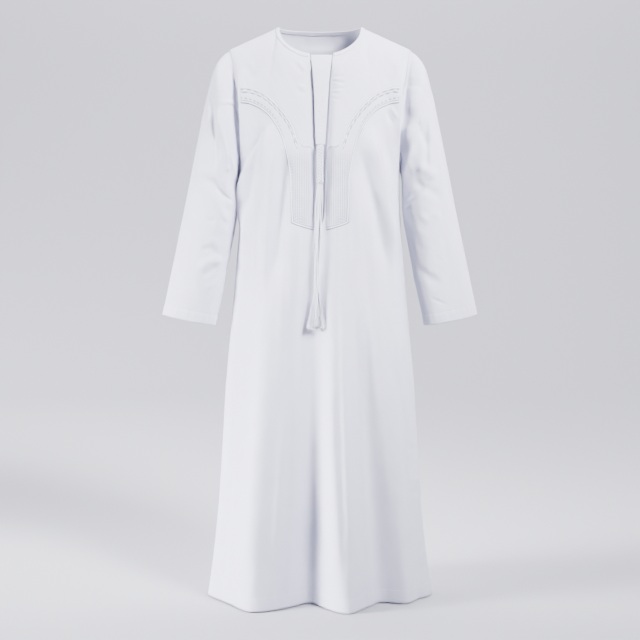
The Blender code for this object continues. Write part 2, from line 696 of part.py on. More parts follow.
def make_band(name, side, panel):
    """Embroidered chest band: a strip laid on the front panel from the armhole to the foot."""
    rows = np.arange(len(BAND["x_inner"]), dtype=float)
    at = np.linspace(0.0, rows[-1], BAND_STATIONS)
    edges = {key: smooth(at, rows, values) for key, values in BAND.items()}
    share = np.linspace(0.0, 1.0, BAND_COLUMNS + 1)[None, :]
    x = side * (edges["x_inner"][:, None] + (edges["x_outer"] - edges["x_inner"])[:, None] * share)
    down = edges["down_inner"][:, None]
    down = down + (edges["down_outer"] - edges["down_inner"])[:, None] * share
    tree = BVHTree.FromObject(panel, bpy.context.evaluated_depsgraph_get())
    ahead = Vector((0.0, 1.0, 0.0))
    outer = np.empty(x.shape + (3,))
    outward = np.empty(x.shape + (3,))
    for place in np.ndindex(x.shape):
        hit, normal, _, _ = tree.ray_cast(Vector((x[place], -1.0, -down[place])), ahead)
        outer[place], outward[place] = hit, normal
    outer += outward * (LAID + BAND_WALL)
    index = np.arange(x.size).reshape(x.shape)
    faces = grid_faces(index, flip=side < 0)
    points, faces = thicken(outer.reshape(-1, 3), faces, outward.reshape(-1, 3) * -BAND_WALL)
    return add_piece(name, points, faces, THREAD_COLOUR)


def disc_place(across, deep):
    """A square grid place from -1 to 1 each way, moved onto a round disc."""
    return across * math.sqrt(1 - deep**2 / 2), deep * math.sqrt(1 - across**2 / 2)


def make_tassel():
    """Tassel: a turned head, whose lower face carries every strand."""
    work = bmesh.new()
    lattice = []
    for i in range(STRANDS_DEEP + 1):
        for j in range(STRANDS_ACROSS + 1):
            place = disc_place(2 * j / STRANDS_ACROSS - 1, 2 * i / STRANDS_DEEP - 1)
            x = STRANDS["x"][0] + HEAD_RADIUS * place[0]
            y = STRANDS["y"][0] + HEAD_RADIUS * place[1]
            lattice.append(work.verts.new((x, y, -HEAD_END)))
    roots = []
    wide = STRANDS_ACROSS + 1
    for i in range(STRANDS_DEEP):
        for j in range(STRANDS_ACROSS):
            k = i * wide + j
            corners = [lattice[k], lattice[k + wide], lattice[k + wide + 1], lattice[k + 1]]
            roots.append(work.faces.new(corners))
    edge = [e for e in work.edges if e.is_boundary]
    grow_head(work, edge)
    bmesh.ops.inset_individual(work, faces=roots, thickness=ROOT_GAP)
    for number, face in enumerate(roots):
        grow_strand(work, face, number)
    bmesh.ops.recalc_face_normals(work, faces=work.faces)
    mesh = bpy.data.meshes.new("tassel")
    work.to_mesh(mesh)
    work.free()
    mesh.materials.append(cloth_material("tassel_thread", THREAD_COLOUR, 0.6))
    piece = bpy.data.objects.new("tassel", mesh)
    bpy.context.scene.collection.objects.link(piece)
    return piece


def grow_head(work, edge):
    """Rises from the lower face's edge to the head's top, ring by ring of the head's table."""
    centre = Vector((STRANDS["x"][0], STRANDS["y"][0], 0.0))
    for down, girth in zip(HEAD["down"], HEAD["girth"]):
        grown = bmesh.ops.extrude_edge_only(work, edges=edge)["geom"]
        edge = [item for item in grown if isinstance(item, bmesh.types.BMEdge)]
        for vert in {vert for item in edge for vert in item.verts}:
            out = Vector((vert.co.x, vert.co.y, 0.0)) - centre
            out = out.normalized() * HEAD_RADIUS * girth
            vert.co = centre + out - Vector((0.0, 0.0, down))
    bmesh.ops.edgeloop_fill(work, edges=edge)


def grow_strand(work, face, number):
    """One strand: its root face drawn down the table of the loose strands."""
    across = (number % STRANDS_ACROSS + 0.5) / STRANDS_ACROSS * 2 - 1
    deep = (number // STRANDS_ACROSS + 0.5) / STRANDS_DEEP * 2 - 1
    place = disc_place(across, deep)
    tip = STRAND_TIP + STRAND_UNEVEN * math.sin(2.4 * number)
    for step in range(1, STRAND_STEPS + 1):
        down = HEAD_END + (tip - HEAD_END) * step / STRAND_STEPS
        row = {key: float(smooth(down, STRANDS["down"], STRANDS[key])) for key in STRANDS}
        x = row["x"] + row["half_across"] * place[0]
        y = row["y"] + row["half_deep"] * place[1]
        face = bmesh.ops.extrude_discrete_faces(work, faces=[face])["faces"][0]
        centre = face.calc_center_median()
        for vert in face.verts:
            turn = vert.co - centre
            vert.co.x = x + math.copysign(STRAND_HALF, turn.x)
            vert.co.y = y + math.copysign(STRAND_HALF, turn.y)
            vert.co.z = -down


def main():
    for item in list(bpy.data.objects):
        bpy.data.objects.remove(item, do_unlink=True)
    v = row_values()
    front = body_grid(front_shares(v), v[:, None] + 0 * front_shares(v), -1.0)
    back_u = np.linspace(-1.0, 1.0, 2 * BACK_COLUMNS + 1)[None, :] + 0 * v[:, None]
    back = body_grid(back_u, v[:, None] + 0 * back_u, 1.0)
    sleeves = {side: sleeve_grid(side, front, back) for side in (-1, 1)}
    armholes = {side: armhole_inward(side, front, back, sleeves[side]) for side in (-1, 1)}
    front_inward = panel_inward(front, -1, armholes)
    back_inward = panel_inward(back, 1, armholes)
    front_panel = make_front(front, front_inward)
    back_panel = make_back(back, back_inward)
    make_sleeve("sleeve_left", -1, sleeves[-1], armholes[-1])
    make_sleeve("sleeve_right", 1, sleeves[1], armholes[1])
    bpy.context.view_layer.update()
    edge, outward = neck_loop(front, back, front_inward, back_inward)
    make_binding(edge, outward, (front_panel, back_panel))
    make_underlay()
    make_tab()
    make_band("chest_band_left", -1, front_panel)
    make_band("chest_band_right", 1, front_panel)
    make_tassel()


main()
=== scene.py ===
# %% [markdown]
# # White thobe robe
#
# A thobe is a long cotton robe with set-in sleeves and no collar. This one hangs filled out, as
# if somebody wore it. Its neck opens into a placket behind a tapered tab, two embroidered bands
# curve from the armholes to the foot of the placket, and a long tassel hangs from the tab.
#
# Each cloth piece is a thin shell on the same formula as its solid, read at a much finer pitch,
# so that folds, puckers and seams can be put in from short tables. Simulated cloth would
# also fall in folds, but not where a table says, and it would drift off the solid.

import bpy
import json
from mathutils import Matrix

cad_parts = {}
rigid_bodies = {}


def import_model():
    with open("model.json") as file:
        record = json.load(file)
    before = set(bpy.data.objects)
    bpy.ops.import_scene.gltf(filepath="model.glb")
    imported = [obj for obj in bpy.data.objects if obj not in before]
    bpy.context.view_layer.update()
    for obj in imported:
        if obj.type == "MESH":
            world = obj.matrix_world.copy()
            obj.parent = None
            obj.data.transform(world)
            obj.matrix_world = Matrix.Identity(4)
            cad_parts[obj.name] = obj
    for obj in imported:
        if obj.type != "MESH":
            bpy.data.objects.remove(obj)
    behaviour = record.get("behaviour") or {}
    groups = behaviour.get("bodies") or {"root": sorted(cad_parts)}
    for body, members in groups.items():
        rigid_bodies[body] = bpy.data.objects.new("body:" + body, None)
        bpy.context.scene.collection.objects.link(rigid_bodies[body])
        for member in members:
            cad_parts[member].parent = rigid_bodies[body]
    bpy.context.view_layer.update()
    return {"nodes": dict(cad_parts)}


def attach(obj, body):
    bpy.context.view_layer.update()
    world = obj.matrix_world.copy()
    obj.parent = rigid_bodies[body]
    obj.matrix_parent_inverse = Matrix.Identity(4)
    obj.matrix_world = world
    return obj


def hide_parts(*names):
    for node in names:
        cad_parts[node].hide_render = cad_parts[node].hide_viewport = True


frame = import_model()

# %% Tools
import json
import math

import bpy
import numpy as np
from mathutils import Vector
from mathutils.bvhtree import BVHTree

print("solid pieces:", ", ".join(sorted(frame["nodes"])))

# %% [markdown]
# ## Sizes
#
# Metres, +Z up, the front faces -Y. The origin is midway between the neck points, where the
# shoulder seams meet the neck. `down` is always the depth below it. The named sizes and most
# rows of the tables for the panels, the sleeves and their long folds are those of the solid
# pieces, because a shell that reads other numbers wouldn't lie on its solid. The placket, the
# tab and the bands differ from theirs by up to about a centimetre, and five long folds in front
# by up to two.

# %% Sizes
LENGTH = 1.45  # neck points down to the hem
CLOTH = 0.0006  # thickness of the shells
SEAM = 0.0003  # gap between two sewn pieces
UNDERARM = 0.36  # neck points down to the underarm
NECK_HALF = 0.103
NECK_FRONT = 0.075
NECK_DROP = 0.0705
NECK_BACK = 0.070
NECK_BACK_DROP = 0.008
SHOULDER_HALF = 0.226
SHOULDER_DROP = 0.0555
NECK_SHARE = 0.5  # share of a half panel's top edge that the neckline takes
VENT_TOP = 1.314  # side vents, from here down to the hem
VENT_OPEN = 0.010
print("robe:", LENGTH, "m long, neck", 2 * NECK_HALF, "m wide")

# %% Tables of the body
def table(columns, *rows):
    """A short table, as one array for each named column."""
    return dict(zip(columns.split(), np.array(rows, float).T))


BODY = table(
    "down half front back round",
    (0.36, 0.2000, 0.113, 0.112, 2.50),
    (0.46, 0.2015, 0.116, 0.117, 2.40),
    (0.60, 0.2130, 0.120, 0.122, 2.30),
    (0.74, 0.2250, 0.124, 0.128, 2.20),
    (0.90, 0.2405, 0.129, 0.136, 2.10),
    (1.08, 0.2520, 0.134, 0.145, 2.00),
    (1.24, 0.2640, 0.139, 0.153, 1.95),
    (1.35, 0.2760, 0.142, 0.159, 1.92),
    (1.45, 0.2905, 0.145, 0.165, 1.90),
)
FRONT_YOKE = table(
    "u x y down rise pull",
    (0.00, 0.0000, -0.1020, 0.118, 0.150, 0.000),
    (0.25, 0.0740, -0.1000, 0.092, 0.150, 0.000),
    (0.50, 0.1220, -0.0820, 0.064, 0.150, 0.000),
    (0.75, 0.1680, -0.0690, 0.073, 0.130, 0.012),
    (1.00, 0.2140, -0.0660, 0.115, 0.045, 0.110),
)
BACK_YOKE = table(
    "u x y down rise pull",
    (0.00, 0.0000, 0.1120, 0.050, 0.150, 0.000),
    (0.25, 0.0740, 0.1080, 0.050, 0.150, 0.000),
    (0.50, 0.1220, 0.0880, 0.054, 0.150, 0.000),
    (0.75, 0.1680, 0.0720, 0.073, 0.130, 0.012),
    (1.00, 0.2140, 0.0660, 0.115, 0.045, 0.110),
)
print("rows of the body:", len(BODY["down"]))

# %% [markdown]
# ## Curves through tables
#
# `smooth` is a cubic through the rows of a table: between rows $k$ and $k+1$, with
# $t=(x-x_k)/h$ and slopes $m$, it is
# $(1+2t)(1-t)^2y_k+t(1-t)^2hm_k+t^2(3-2t)y_{k+1}+t^2(t-1)hm_{k+1}$.
# Straight lines between rows would leave corners in the cloth.

# %% Cubic curve, unit vectors and a soft step
def smooth(at, known, values):
    """Cubic curve through the rows of a table, level beyond its first and last rows."""
    at = np.clip(at, known[0], known[-1])
    slopes = np.gradient(values, known)
    row = np.clip(np.searchsorted(known, at) - 1, 0, len(known) - 2)
    step = known[row + 1] - known[row]
    t = (at - known[row]) / step
    near = (1 + 2 * t) * (1 - t) ** 2 * values[row] + t * (1 - t) ** 2 * step * slopes[row]
    far = t * t * (3 - 2 * t) * values[row + 1] + t * t * (t - 1) * step * slopes[row + 1]
    return near + far


def unit(vectors):
    """Vectors divided by their lengths."""
    return vectors / np.linalg.norm(vectors, axis=-1, keepdims=True)


def ease(t):
    """0 below 0, 1 above 1, and a smooth step between."""
    t = np.clip(t, 0.0, 1.0)
    return t * t * (3 - 2 * t)

print("ease(0.5) =", float(ease(0.5)))

# %% [markdown]
# ## The body's form
#
# Below the underarm the body is a stack of level superellipses
# $|x/a|^n+|y/b|^n=1$, whose half width $a$, depth $b$ and power $n$ come from a table. Above it,
# cubic curves run from the neckline, shoulders and armholes down to the first of them. `u` runs
# from side seam to side seam, and `v` is 0 at the top edge, 1 at the underarm and 2 at the hem.

# %% Level rings
def even_angles():
    """Angles round a typical quarter section, for even steps along its edge."""
    angle = np.linspace(0.0, math.pi / 2, 600)
    x = np.sin(angle) ** (2 / 2.2)
    y = 0.52 * np.cos(angle) ** (2 / 2.2)
    run = np.concatenate([[0.0], np.cumsum(np.hypot(np.diff(x), np.diff(y)))])
    return run / run[-1], angle


EVEN_SHARE, EVEN_ANGLE = even_angles()


def ring(u, down, facing):
    """Level superellipse: u runs from -1 to 1, from side seam to side seam."""
    half = smooth(down, BODY["down"], BODY["half"])
    depth = smooth(down, BODY["down"], BODY["front" if facing < 0 else "back"])
    power = 2 / smooth(down, BODY["down"], BODY["round"])
    angle = np.interp(np.abs(u), EVEN_SHARE, EVEN_ANGLE)
    gap = SEAM + VENT_OPEN * ease((down - VENT_TOP) / (LENGTH - VENT_TOP))
    x = np.sign(u) * half * np.sin(angle) ** power
    y = facing * (depth * np.maximum(np.cos(angle), 0.0) ** power + gap / 2)
    return np.stack([x, y, -down + 0 * x], axis=-1)


print("half width at the hem:", round(float(ring(np.ones(1), LENGTH, -1.0)[0, 0]), 3), "m")

# %% Neck and shoulders
def top_edge(u, facing):
    """Neckline from the centre to the neck point, then the shoulder seam to the armhole."""
    across = np.abs(u)
    turn = np.clip(across / NECK_SHARE, 0.0, 1.0) * math.pi / 2
    ahead = np.maximum(np.cos(turn), 0.0)
    out = np.clip((across - NECK_SHARE) / (1 - NECK_SHARE), 0.0, 1.0)
    depth, drop = (NECK_FRONT, NECK_DROP) if facing < 0 else (NECK_BACK, NECK_BACK_DROP)
    x = NECK_HALF * np.sin(turn) + (SHOULDER_HALF - NECK_HALF) * out
    y = facing * (depth * ahead**0.8 + SEAM / 2)
    z = -drop * ahead - SHOULDER_DROP * out
    return np.stack([np.sign(u) * x, y, z], axis=-1)


def mirrored(rows, name, sign):
    """A column of a yoke table for u from -0.25, so that it runs smoothly over the centre."""
    values = rows[name]
    return np.concatenate([[sign * values[1]], values])


print("neck point:", top_edge(np.array([NECK_SHARE]), -1.0)[0].round(4))

# %% From the shoulders to the underarm
def yoke(u, t, facing):
    """Cubic curves from the top edge (t = 0) down to the ring at the underarm (t = 1)."""
    rows = FRONT_YOKE if facing < 0 else BACK_YOKE
    known, across = mirrored(rows, "u", -1.0), np.abs(u)
    x, y, down, rise, pull = (
        smooth(across, known, mirrored(rows, name, sign))
        for name, sign in (("x", -1.0), ("y", 1.0), ("down", 1.0), ("rise", 1.0), ("pull", 1.0))
    )
    step = 0.01
    first = top_edge(u, facing)
    last = ring(u, UNDERARM + 0 * u, facing)
    slope = (ring(u, UNDERARM + step + 0 * u, facing) - last) / step
    second = np.stack([np.sign(u) * x, y, -down], axis=-1)
    pulled = np.stack([0 * u, facing * pull, 0 * u], axis=-1)
    third = last - rise[..., None] * slope + pulled
    t = t[..., None]
    return (
        (1 - t) ** 3 * first
        + 3 * (1 - t) ** 2 * t * second
        + 3 * (1 - t) * t * t * third
        + t**3 * last
    )


def smooth_body(u, v, facing):
    """The body without folds: v is 0 at the top edge, 1 at the underarm and 2 at the hem."""
    down = UNDERARM + (LENGTH - UNDERARM) * np.clip(v - 1, 0.0, 1.0)
    above = (v < 1.0)[..., None]
    return np.where(above, yoke(u, np.clip(v, 0.0, 1.0), facing), ring(u, down, facing))


underarm = smooth_body(np.ones(1), np.ones(1), -1.0)[0]
print("half width at the underarm:", round(float(underarm[0]), 3), "m")

# %% [markdown]
# ## Folds, creases and ridges
#
# Three kinds of relief are added along the cloth's normal. Long folds grow from where they
# start to the hem. Short creases lie along a line and die away at both ends. Ridges follow a
# curve through three places, and one side is steeper than the other, as in a fold that leans.
# Real cloth is never even, so every row has its own size and no two are mirror images.

# %% Long folds and short creases
def fold_depth(folds, x, down):
    """Sum of the long folds: a bell across each one, growing from its start to the hem."""
    depth = 0 * x
    for start, xs, xh, xe, out_half, out_hem, width_half, width_hem in zip(*folds.values()):
        known = np.array([start, (start + LENGTH) / 2, LENGTH])
        path = smooth(down, known, np.array([xs, xh, xe]))
        out = smooth(down, known, np.array([0.0, out_half, out_hem]))
        width = np.interp(down, known[1:], [width_half, width_hem])
        grown = ease((down - start) / 0.08)
        depth = depth + out * grown * np.exp(-(((x - path) / width) ** 2))
    return depth


def crease_depth(creases, across, down, scale=1.0):
    """Sum of the short creases: a bell across each line, which dies away at its two ends."""
    depth = 0 * across
    for a0, d0, a1, d1, out, width in zip(*creases.values()):
        run_across, run_down = (a1 - a0) * scale, d1 - d0
        length = math.hypot(run_across, run_down)
        off_across, off_down = (across - a0) * scale, down - d0
        along = (off_across * run_across + off_down * run_down) / length
        aside = (off_across * run_down - off_down * run_across) / length
        ends = ease(along / (0.35 * length) + 0.3) * ease((length - along) / (0.35 * length) + 0.3)
        depth = depth + out * ends * np.exp(-((aside / width) ** 2))
    return depth

# %% Tables of folds and creases
FRONT_FOLDS = table(
    "start x_start x_half x_hem out_half out_hem width_half width_hem",
    (0.34, -0.080, -0.126, -0.154, 0.020, 0.054, 0.036, 0.060),
    (0.52, -0.008, -0.016, -0.030, -0.012, -0.050, 0.036, 0.046),
    (0.46, 0.022, 0.040, 0.060, 0.013, 0.048, 0.029, 0.044),
    (0.40, 0.070, 0.112, 0.165, -0.010, -0.030, 0.024, 0.036),
    (0.38, 0.120, 0.168, 0.215, 0.008, 0.010, 0.022, 0.026),
    (0.62, 0.190, 0.222, 0.252, -0.003, -0.009, 0.020, 0.026),
    (0.70, -0.205, -0.225, -0.245, -0.003, -0.003, 0.018, 0.024),
)
BACK_FOLDS = table(
    "start x_start x_half x_hem out_half out_hem width_half width_hem",
    (0.30, -0.120, -0.160, -0.200, 0.014, 0.036, 0.030, 0.040),
    (0.42, -0.070, -0.095, -0.115, -0.016, -0.044, 0.026, 0.036),
    (0.30, -0.020, -0.030, -0.035, 0.014, 0.042, 0.028, 0.040),
    (0.46, 0.030, 0.042, 0.050, -0.018, -0.046, 0.026, 0.036),
    (0.30, 0.085, 0.112, 0.130, 0.016, 0.040, 0.030, 0.040),
    (0.50, 0.150, 0.190, 0.215, -0.010, -0.026, 0.024, 0.030),
)
FRONT_CREASES = table(
    "x_a down_a x_b down_b out width",
    (-0.125, 0.250, -0.195, 0.560, 0.007, 0.016),
    (-0.150, 0.235, -0.205, 0.470, -0.005, 0.012),
    (0.120, 0.250, 0.170, 0.520, 0.006, 0.015),
    (0.150, 0.240, 0.200, 0.420, -0.005, 0.012),
)
BACK_CREASES = table(
    "x_a down_a x_b down_b out width",
    (-0.110, 0.220, -0.190, 0.520, 0.006, 0.018),
    (0.115, 0.220, 0.190, 0.500, 0.006, 0.018),
    (-0.020, 0.120, 0.070, 0.125, -0.003, 0.014),
)
print("folds in front:", len(FRONT_FOLDS["start"]), "and behind:", len(BACK_FOLDS["start"]))

# %% Leaning ridges
def ridge_depth(ridges, across, down, scale=1.0):
    """Leaning ridges: a bell across a parabola through three places, steeper on one side."""
    depth = 0 * across
    for a0, d0, a1, d1, a2, d2, out, width, lean in zip(*ridges.values()):
        t = np.clip((down - d0) / (d2 - d0), 0.0, 1.0)
        middle = (d1 - d0) / (d2 - d0)
        bend = (a1 - a0 - (a2 - a0) * middle) / (middle * (middle - 1))
        path = a0 + (a2 - a0) * t + bend * t * (t - 1)
        aside = (across - path) * scale / width
        aside = aside / (1 + lean * np.tanh(2 * aside))
        beyond = np.maximum(d0 - down, down - d2)
        ends = ease(1 - np.maximum(beyond, 0.0) / 0.02) * ease(t / 0.25 + 0.15)
        ends = ends * ease((1 - t) / 0.25 + 0.15)
        depth = depth + out * ends * np.exp(-(aside**2))
    return depth

# %% Ridges and fine creases of the front
FRONT_RIDGES = table(
    "x_a down_a x_m down_m x_b down_b out width lean",
    (-0.119, 0.240, -0.176, 0.350, -0.203, 0.500, 0.0063, 0.0090, 0.35),
    (-0.136, 0.245, -0.172, 0.380, -0.190, 0.480, -0.0049, 0.0080, 0.00),
    (-0.106, 0.257, -0.124, 0.441, -0.140, 0.660, 0.0056, 0.0110, -0.20),
    (-0.090, 0.300, -0.104, 0.480, -0.112, 0.640, -0.0035, 0.0100, 0.00),
    (-0.133, 0.600, -0.150, 0.980, -0.168, 1.440, 0.0060, 0.0210, -0.20),
    (-0.082, 0.880, -0.090, 1.060, -0.110, 1.330, 0.0039, 0.0090, 0.20),
    (-0.073, 0.480, -0.072, 0.580, -0.074, 0.700, 0.0035, 0.0090, 0.00),
    (-0.006, 0.640, -0.014, 0.960, -0.030, 1.440, -0.0130, 0.0440, -0.40),
    (0.020, 0.640, 0.026, 1.070, 0.040, 1.440, 0.0080, 0.0200, 0.25),
    (0.062, 0.640, 0.060, 0.872, 0.083, 1.350, 0.0039, 0.0100, 0.20),
    (0.042, 0.880, 0.050, 1.126, 0.060, 1.400, -0.0039, 0.0090, 0.00),
    (0.119, 0.244, 0.158, 0.430, 0.192, 0.600, 0.0063, 0.0100, -0.30),
    (0.105, 0.290, 0.140, 0.450, 0.166, 0.600, -0.0042, 0.0100, 0.00),
    (0.199, 0.740, 0.208, 0.920, 0.250, 1.056, 0.0042, 0.0090, 0.25),
    (0.090, 0.360, 0.117, 0.600, 0.152, 1.010, 0.0056, 0.0110, 0.30),
    (0.116, 0.500, 0.140, 0.750, 0.176, 1.150, -0.0035, 0.0110, 0.00),
    (0.170, 0.620, 0.188, 0.860, 0.215, 1.250, 0.0031, 0.0100, 0.00),
    (-0.210, 0.700, -0.222, 0.900, -0.232, 1.130, 0.0031, 0.0090, 0.20),
)
FRONT_FINE = table(
    "x_a down_a x_b down_b out width",
    (0.175, 0.198, 0.193, 0.226, 0.0030, 0.0050),
    (0.166, 0.209, 0.180, 0.240, -0.0030, 0.0055),
    (-0.189, 0.094, -0.161, 0.130, -0.0026, 0.0110),
    (0.186, 0.094, 0.162, 0.134, -0.0026, 0.0110),
    (-0.062, 0.088, -0.043, 0.118, -0.0026, 0.0060),
    (-0.052, 0.090, -0.034, 0.110, 0.0018, 0.0050),
    (-0.056, 0.145, -0.036, 0.152, 0.0018, 0.0050),
    (-0.055, 0.160, -0.034, 0.166, -0.0022, 0.0050),
    (0.031, 0.123, 0.060, 0.124, -0.0018, 0.0030),
    (0.031, 0.134, 0.061, 0.141, -0.0026, 0.0032),
    (0.031, 0.145, 0.046, 0.147, -0.0016, 0.0030),
    (0.031, 0.154, 0.058, 0.152, -0.0024, 0.0032),
    (0.031, 0.165, 0.046, 0.165, -0.0018, 0.0030),
    (0.030, 0.175, 0.047, 0.181, -0.0022, 0.0032),
    (0.034, 0.1285, 0.056, 0.1310, 0.0012, 0.0026),
    (0.034, 0.1580, 0.054, 0.1570, 0.0012, 0.0028),
    (-0.236, 1.135, -0.214, 1.150, 0.0030, 0.0060),
    (-0.246, 1.160, -0.218, 1.172, -0.0030, 0.0060),
    (-0.244, 1.185, -0.222, 1.190, 0.0022, 0.0060),
    (0.246, 1.055, 0.222, 1.030, 0.0030, 0.0060),
    (0.248, 1.072, 0.226, 1.060, -0.0028, 0.0060),
    (0.255, 1.150, 0.232, 1.135, 0.0028, 0.0060),
    (0.256, 1.172, 0.234, 1.180, -0.0030, 0.0060),
    (-0.268, 1.345, -0.246, 1.375, 0.0028, 0.0070),
    (-0.272, 1.375, -0.252, 1.400, -0.0028, 0.0070),
    (0.270, 1.330, 0.250, 1.362, 0.0028, 0.0070),
    (0.274, 1.368, 0.252, 1.392, -0.0028, 0.0070),
    (0.206, 0.756, 0.190, 0.762, -0.0016, 0.0045),
)
print("in front:", len(FRONT_RIDGES["out"]), "ridges,", len(FRONT_FINE["out"]), "fine creases")

# %% Ridges and fine creases of the back
BACK_RIDGES = table(
    "x_a down_a x_m down_m x_b down_b out width lean",
    (-0.112, 0.230, -0.168, 0.360, -0.196, 0.540, 0.0040, 0.011, 0.30),
    (0.116, 0.220, 0.166, 0.350, 0.196, 0.520, 0.0040, 0.011, -0.30),
    (-0.070, 0.420, -0.096, 0.800, -0.122, 1.420, -0.0035, 0.012, 0.20),
    (-0.012, 0.380, -0.024, 0.800, -0.036, 1.400, 0.0035, 0.012, -0.30),
    (0.048, 0.520, 0.052, 0.900, 0.056, 1.420, -0.0040, 0.011, 0.20),
    (0.086, 0.360, 0.112, 0.820, 0.136, 1.420, 0.0040, 0.012, 0.30),
    (0.170, 0.560, 0.196, 0.900, 0.224, 1.300, -0.0028, 0.010, 0.00),
    (-0.176, 0.620, -0.204, 0.900, -0.226, 1.250, 0.0026, 0.010, 0.20),
)
BACK_FINE = table(
    "x_a down_a x_b down_b out width",
    (-0.060, 0.052, 0.055, 0.056, -0.0018, 0.0090),
    (-0.190, 0.100, -0.150, 0.140, -0.0026, 0.0110),
    (0.190, 0.104, 0.156, 0.142, -0.0026, 0.0110),
    (-0.196, 0.330, -0.150, 0.300, 0.0028, 0.0080),
    (0.196, 0.336, 0.148, 0.300, 0.0028, 0.0080),
    (0.246, 1.080, 0.222, 1.060, 0.0026, 0.0070),
    (-0.250, 1.160, -0.224, 1.140, 0.0026, 0.0070),
)
print("behind:", len(BACK_RIDGES["out"]), "ridges,", len(BACK_FINE["out"]), "fine creases")

# %% [markdown]
# ## Building blocks
#
# Every piece is a grid of points, so one function turns grids into faces and one closes a
# surface into a thin wall. Objects stay at the origin without rotation or scale, so that their
# own coordinates are metres on the robe.

# %% Colour
def to_linear(code):
    """sRGB hex to linear: c / 12.92 at or below 0.04045, else ((c + 0.055) / 1.055) ** 2.4."""
    channels = [int(code[i : i + 2], 16) / 255 for i in (1, 3, 5)]
    return (
        *(c / 12.92 if c <= 0.04045 else ((c + 0.055) / 1.055) ** 2.4 for c in channels),
        1.0,
    )


print("white cloth, linear:", [round(c, 3) for c in to_linear("#f2f2f6")[:3]])

# %% Faces and walls from grids
def grid_normals(grid, wrap=False):
    """Unit normals of a grid of points: down its rows crossed with along its columns."""
    down = np.gradient(grid, axis=0)
    if wrap:
        along = np.roll(grid, -1, axis=1) - np.roll(grid, 1, axis=1)
    else:
        along = np.gradient(grid, axis=1)
    return unit(np.cross(down, along))


def grid_faces(index, wrap=False, flip=False):
    """Quads over a grid of vertex indices."""
    if wrap:
        index = np.concatenate([index, index[:, :1]], axis=1)
    corners = [index[:-1, :-1], index[1:, :-1], index[1:, 1:], index[:-1, 1:]]
    if flip:
        corners.reverse()
    return np.stack(corners, axis=-1).reshape(-1, 4)


def rim_of(faces):
    """Edges that only one face uses, in that face's own turn."""
    sides = faces.shape[1]
    edges = np.concatenate([faces[:, [i, (i + 1) % sides]] for i in range(sides)])
    known = set(map(tuple, edges.tolist()))
    return np.array([edge for edge in edges.tolist() if (edge[1], edge[0]) not in known])


def thicken(points, faces, inward):
    """Closed wall: the faces, their copies moved by inward and turned round, and the rim."""
    count = len(points)
    rim = rim_of(faces)
    walls = np.stack([rim[:, 1], rim[:, 0], rim[:, 0] + count, rim[:, 1] + count], axis=-1)
    return (
        np.concatenate([points, points + inward]),
        np.concatenate([faces, faces[:, ::-1] + count, walls]),
    )


print("faces between 3 by 3 points:", len(grid_faces(np.arange(9).reshape(3, 3))))

# %% Pieces and their UV
def add_piece(name, points, faces, material, uv=None):
    """One object from points and faces, without unused points, with an optional UV per point."""
    faces = np.asarray(faces)
    used, renumbered = np.unique(faces, return_inverse=True)
    corners = renumbered.reshape(-1)
    mesh = bpy.data.meshes.new(name)
    mesh.vertices.add(len(used))
    mesh.vertices.foreach_set("co", np.ascontiguousarray(points[used], np.float32).reshape(-1))
    mesh.loops.add(len(corners))
    mesh.loops.foreach_set("vertex_index", corners.astype(np.int32))
    mesh.polygons.add(len(faces))
    mesh.polygons.foreach_set(
        "loop_start", np.arange(0, len(corners), faces.shape[1], dtype=np.int32)
    )
    mesh.update(calc_edges=True)
    if uv is not None:
        layer = mesh.uv_layers.new(name="cloth")
        layer.data.foreach_set("uv", uv[used][corners].astype(np.float32).reshape(-1))
    mesh.materials.append(material)
    mesh.shade_smooth()
    mesh.validate()
    piece = bpy.data.objects.new(name, mesh)
    bpy.context.scene.collection.objects.link(piece)
    return piece


def metre_uv(grid):
    """Distance along the columns and down the rows of a grid, in metres."""
    across = np.linalg.norm(np.diff(grid, axis=1), axis=-1)
    down = np.linalg.norm(np.diff(grid, axis=0), axis=-1)
    u = np.concatenate([0 * across[:, :1], np.cumsum(across, axis=1)], axis=1)
    u = u - u[:, [grid.shape[1] // 2]]
    v = np.concatenate([0 * down[:1], np.cumsum(down, axis=0)])
    return np.stack([u, np.broadcast_to(v.mean(axis=1, keepdims=True), u.shape)], axis=-1)

# %% [markdown]
# ## Materials
#
# Five materials cover the robe, under the record's three slots. Cotton poplin is matt and lets a
# little light through, so the cloth is a Principled shader mixed with a Translucent one. Its
# weave is two crossed waves at thread pitch, read from the UV in metres, because an image would
# repeat and blur. The bands' ground is a sateen of the same cotton. Floss, sewing thread and
# mercerised thread are smoother, and shine a little along their strands. White on white shows by
# its shadows alone, so shade is painted into the grooves of the ground and the tassel: a darker
# colour, mixed in from an attribute of the piece.

# %% Nodes
def add_node(tree, kind, where, **settings):
    """One shader node. Settings are attributes, or input sockets by name with _ for spaces."""
    node = tree.nodes.new(kind)
    node.location = where
    for name, value in settings.items():
        if hasattr(node, name):
            setattr(node, name, value)
        else:
            node.inputs[name.replace("_", " ")].default_value = value
    return node


def new_material(name):
    """An empty material, its node tree and its output node."""
    material = bpy.data.materials.new(name)
    material.use_nodes = True
    tree = material.node_tree
    tree.nodes.clear()
    return material, tree, add_node(tree, "ShaderNodeOutputMaterial", (900, 0))


def painted_shade_mix(tree, shade_colour, where):
    """A mix with the painted shade colour where the piece's relief is 0, and B where it is 1."""
    relief_and_shade = add_node(
        tree, "ShaderNodeAttribute", (where[0] - 350, where[1]), attribute_name="relief_and_shade"
    )
    tone = add_node(tree, "ShaderNodeMix", where, data_type="RGBA")
    tone.inputs["A"].default_value = to_linear(shade_colour)
    tree.links.new(relief_and_shade.outputs["Fac"], tone.inputs["Factor"])
    return tone

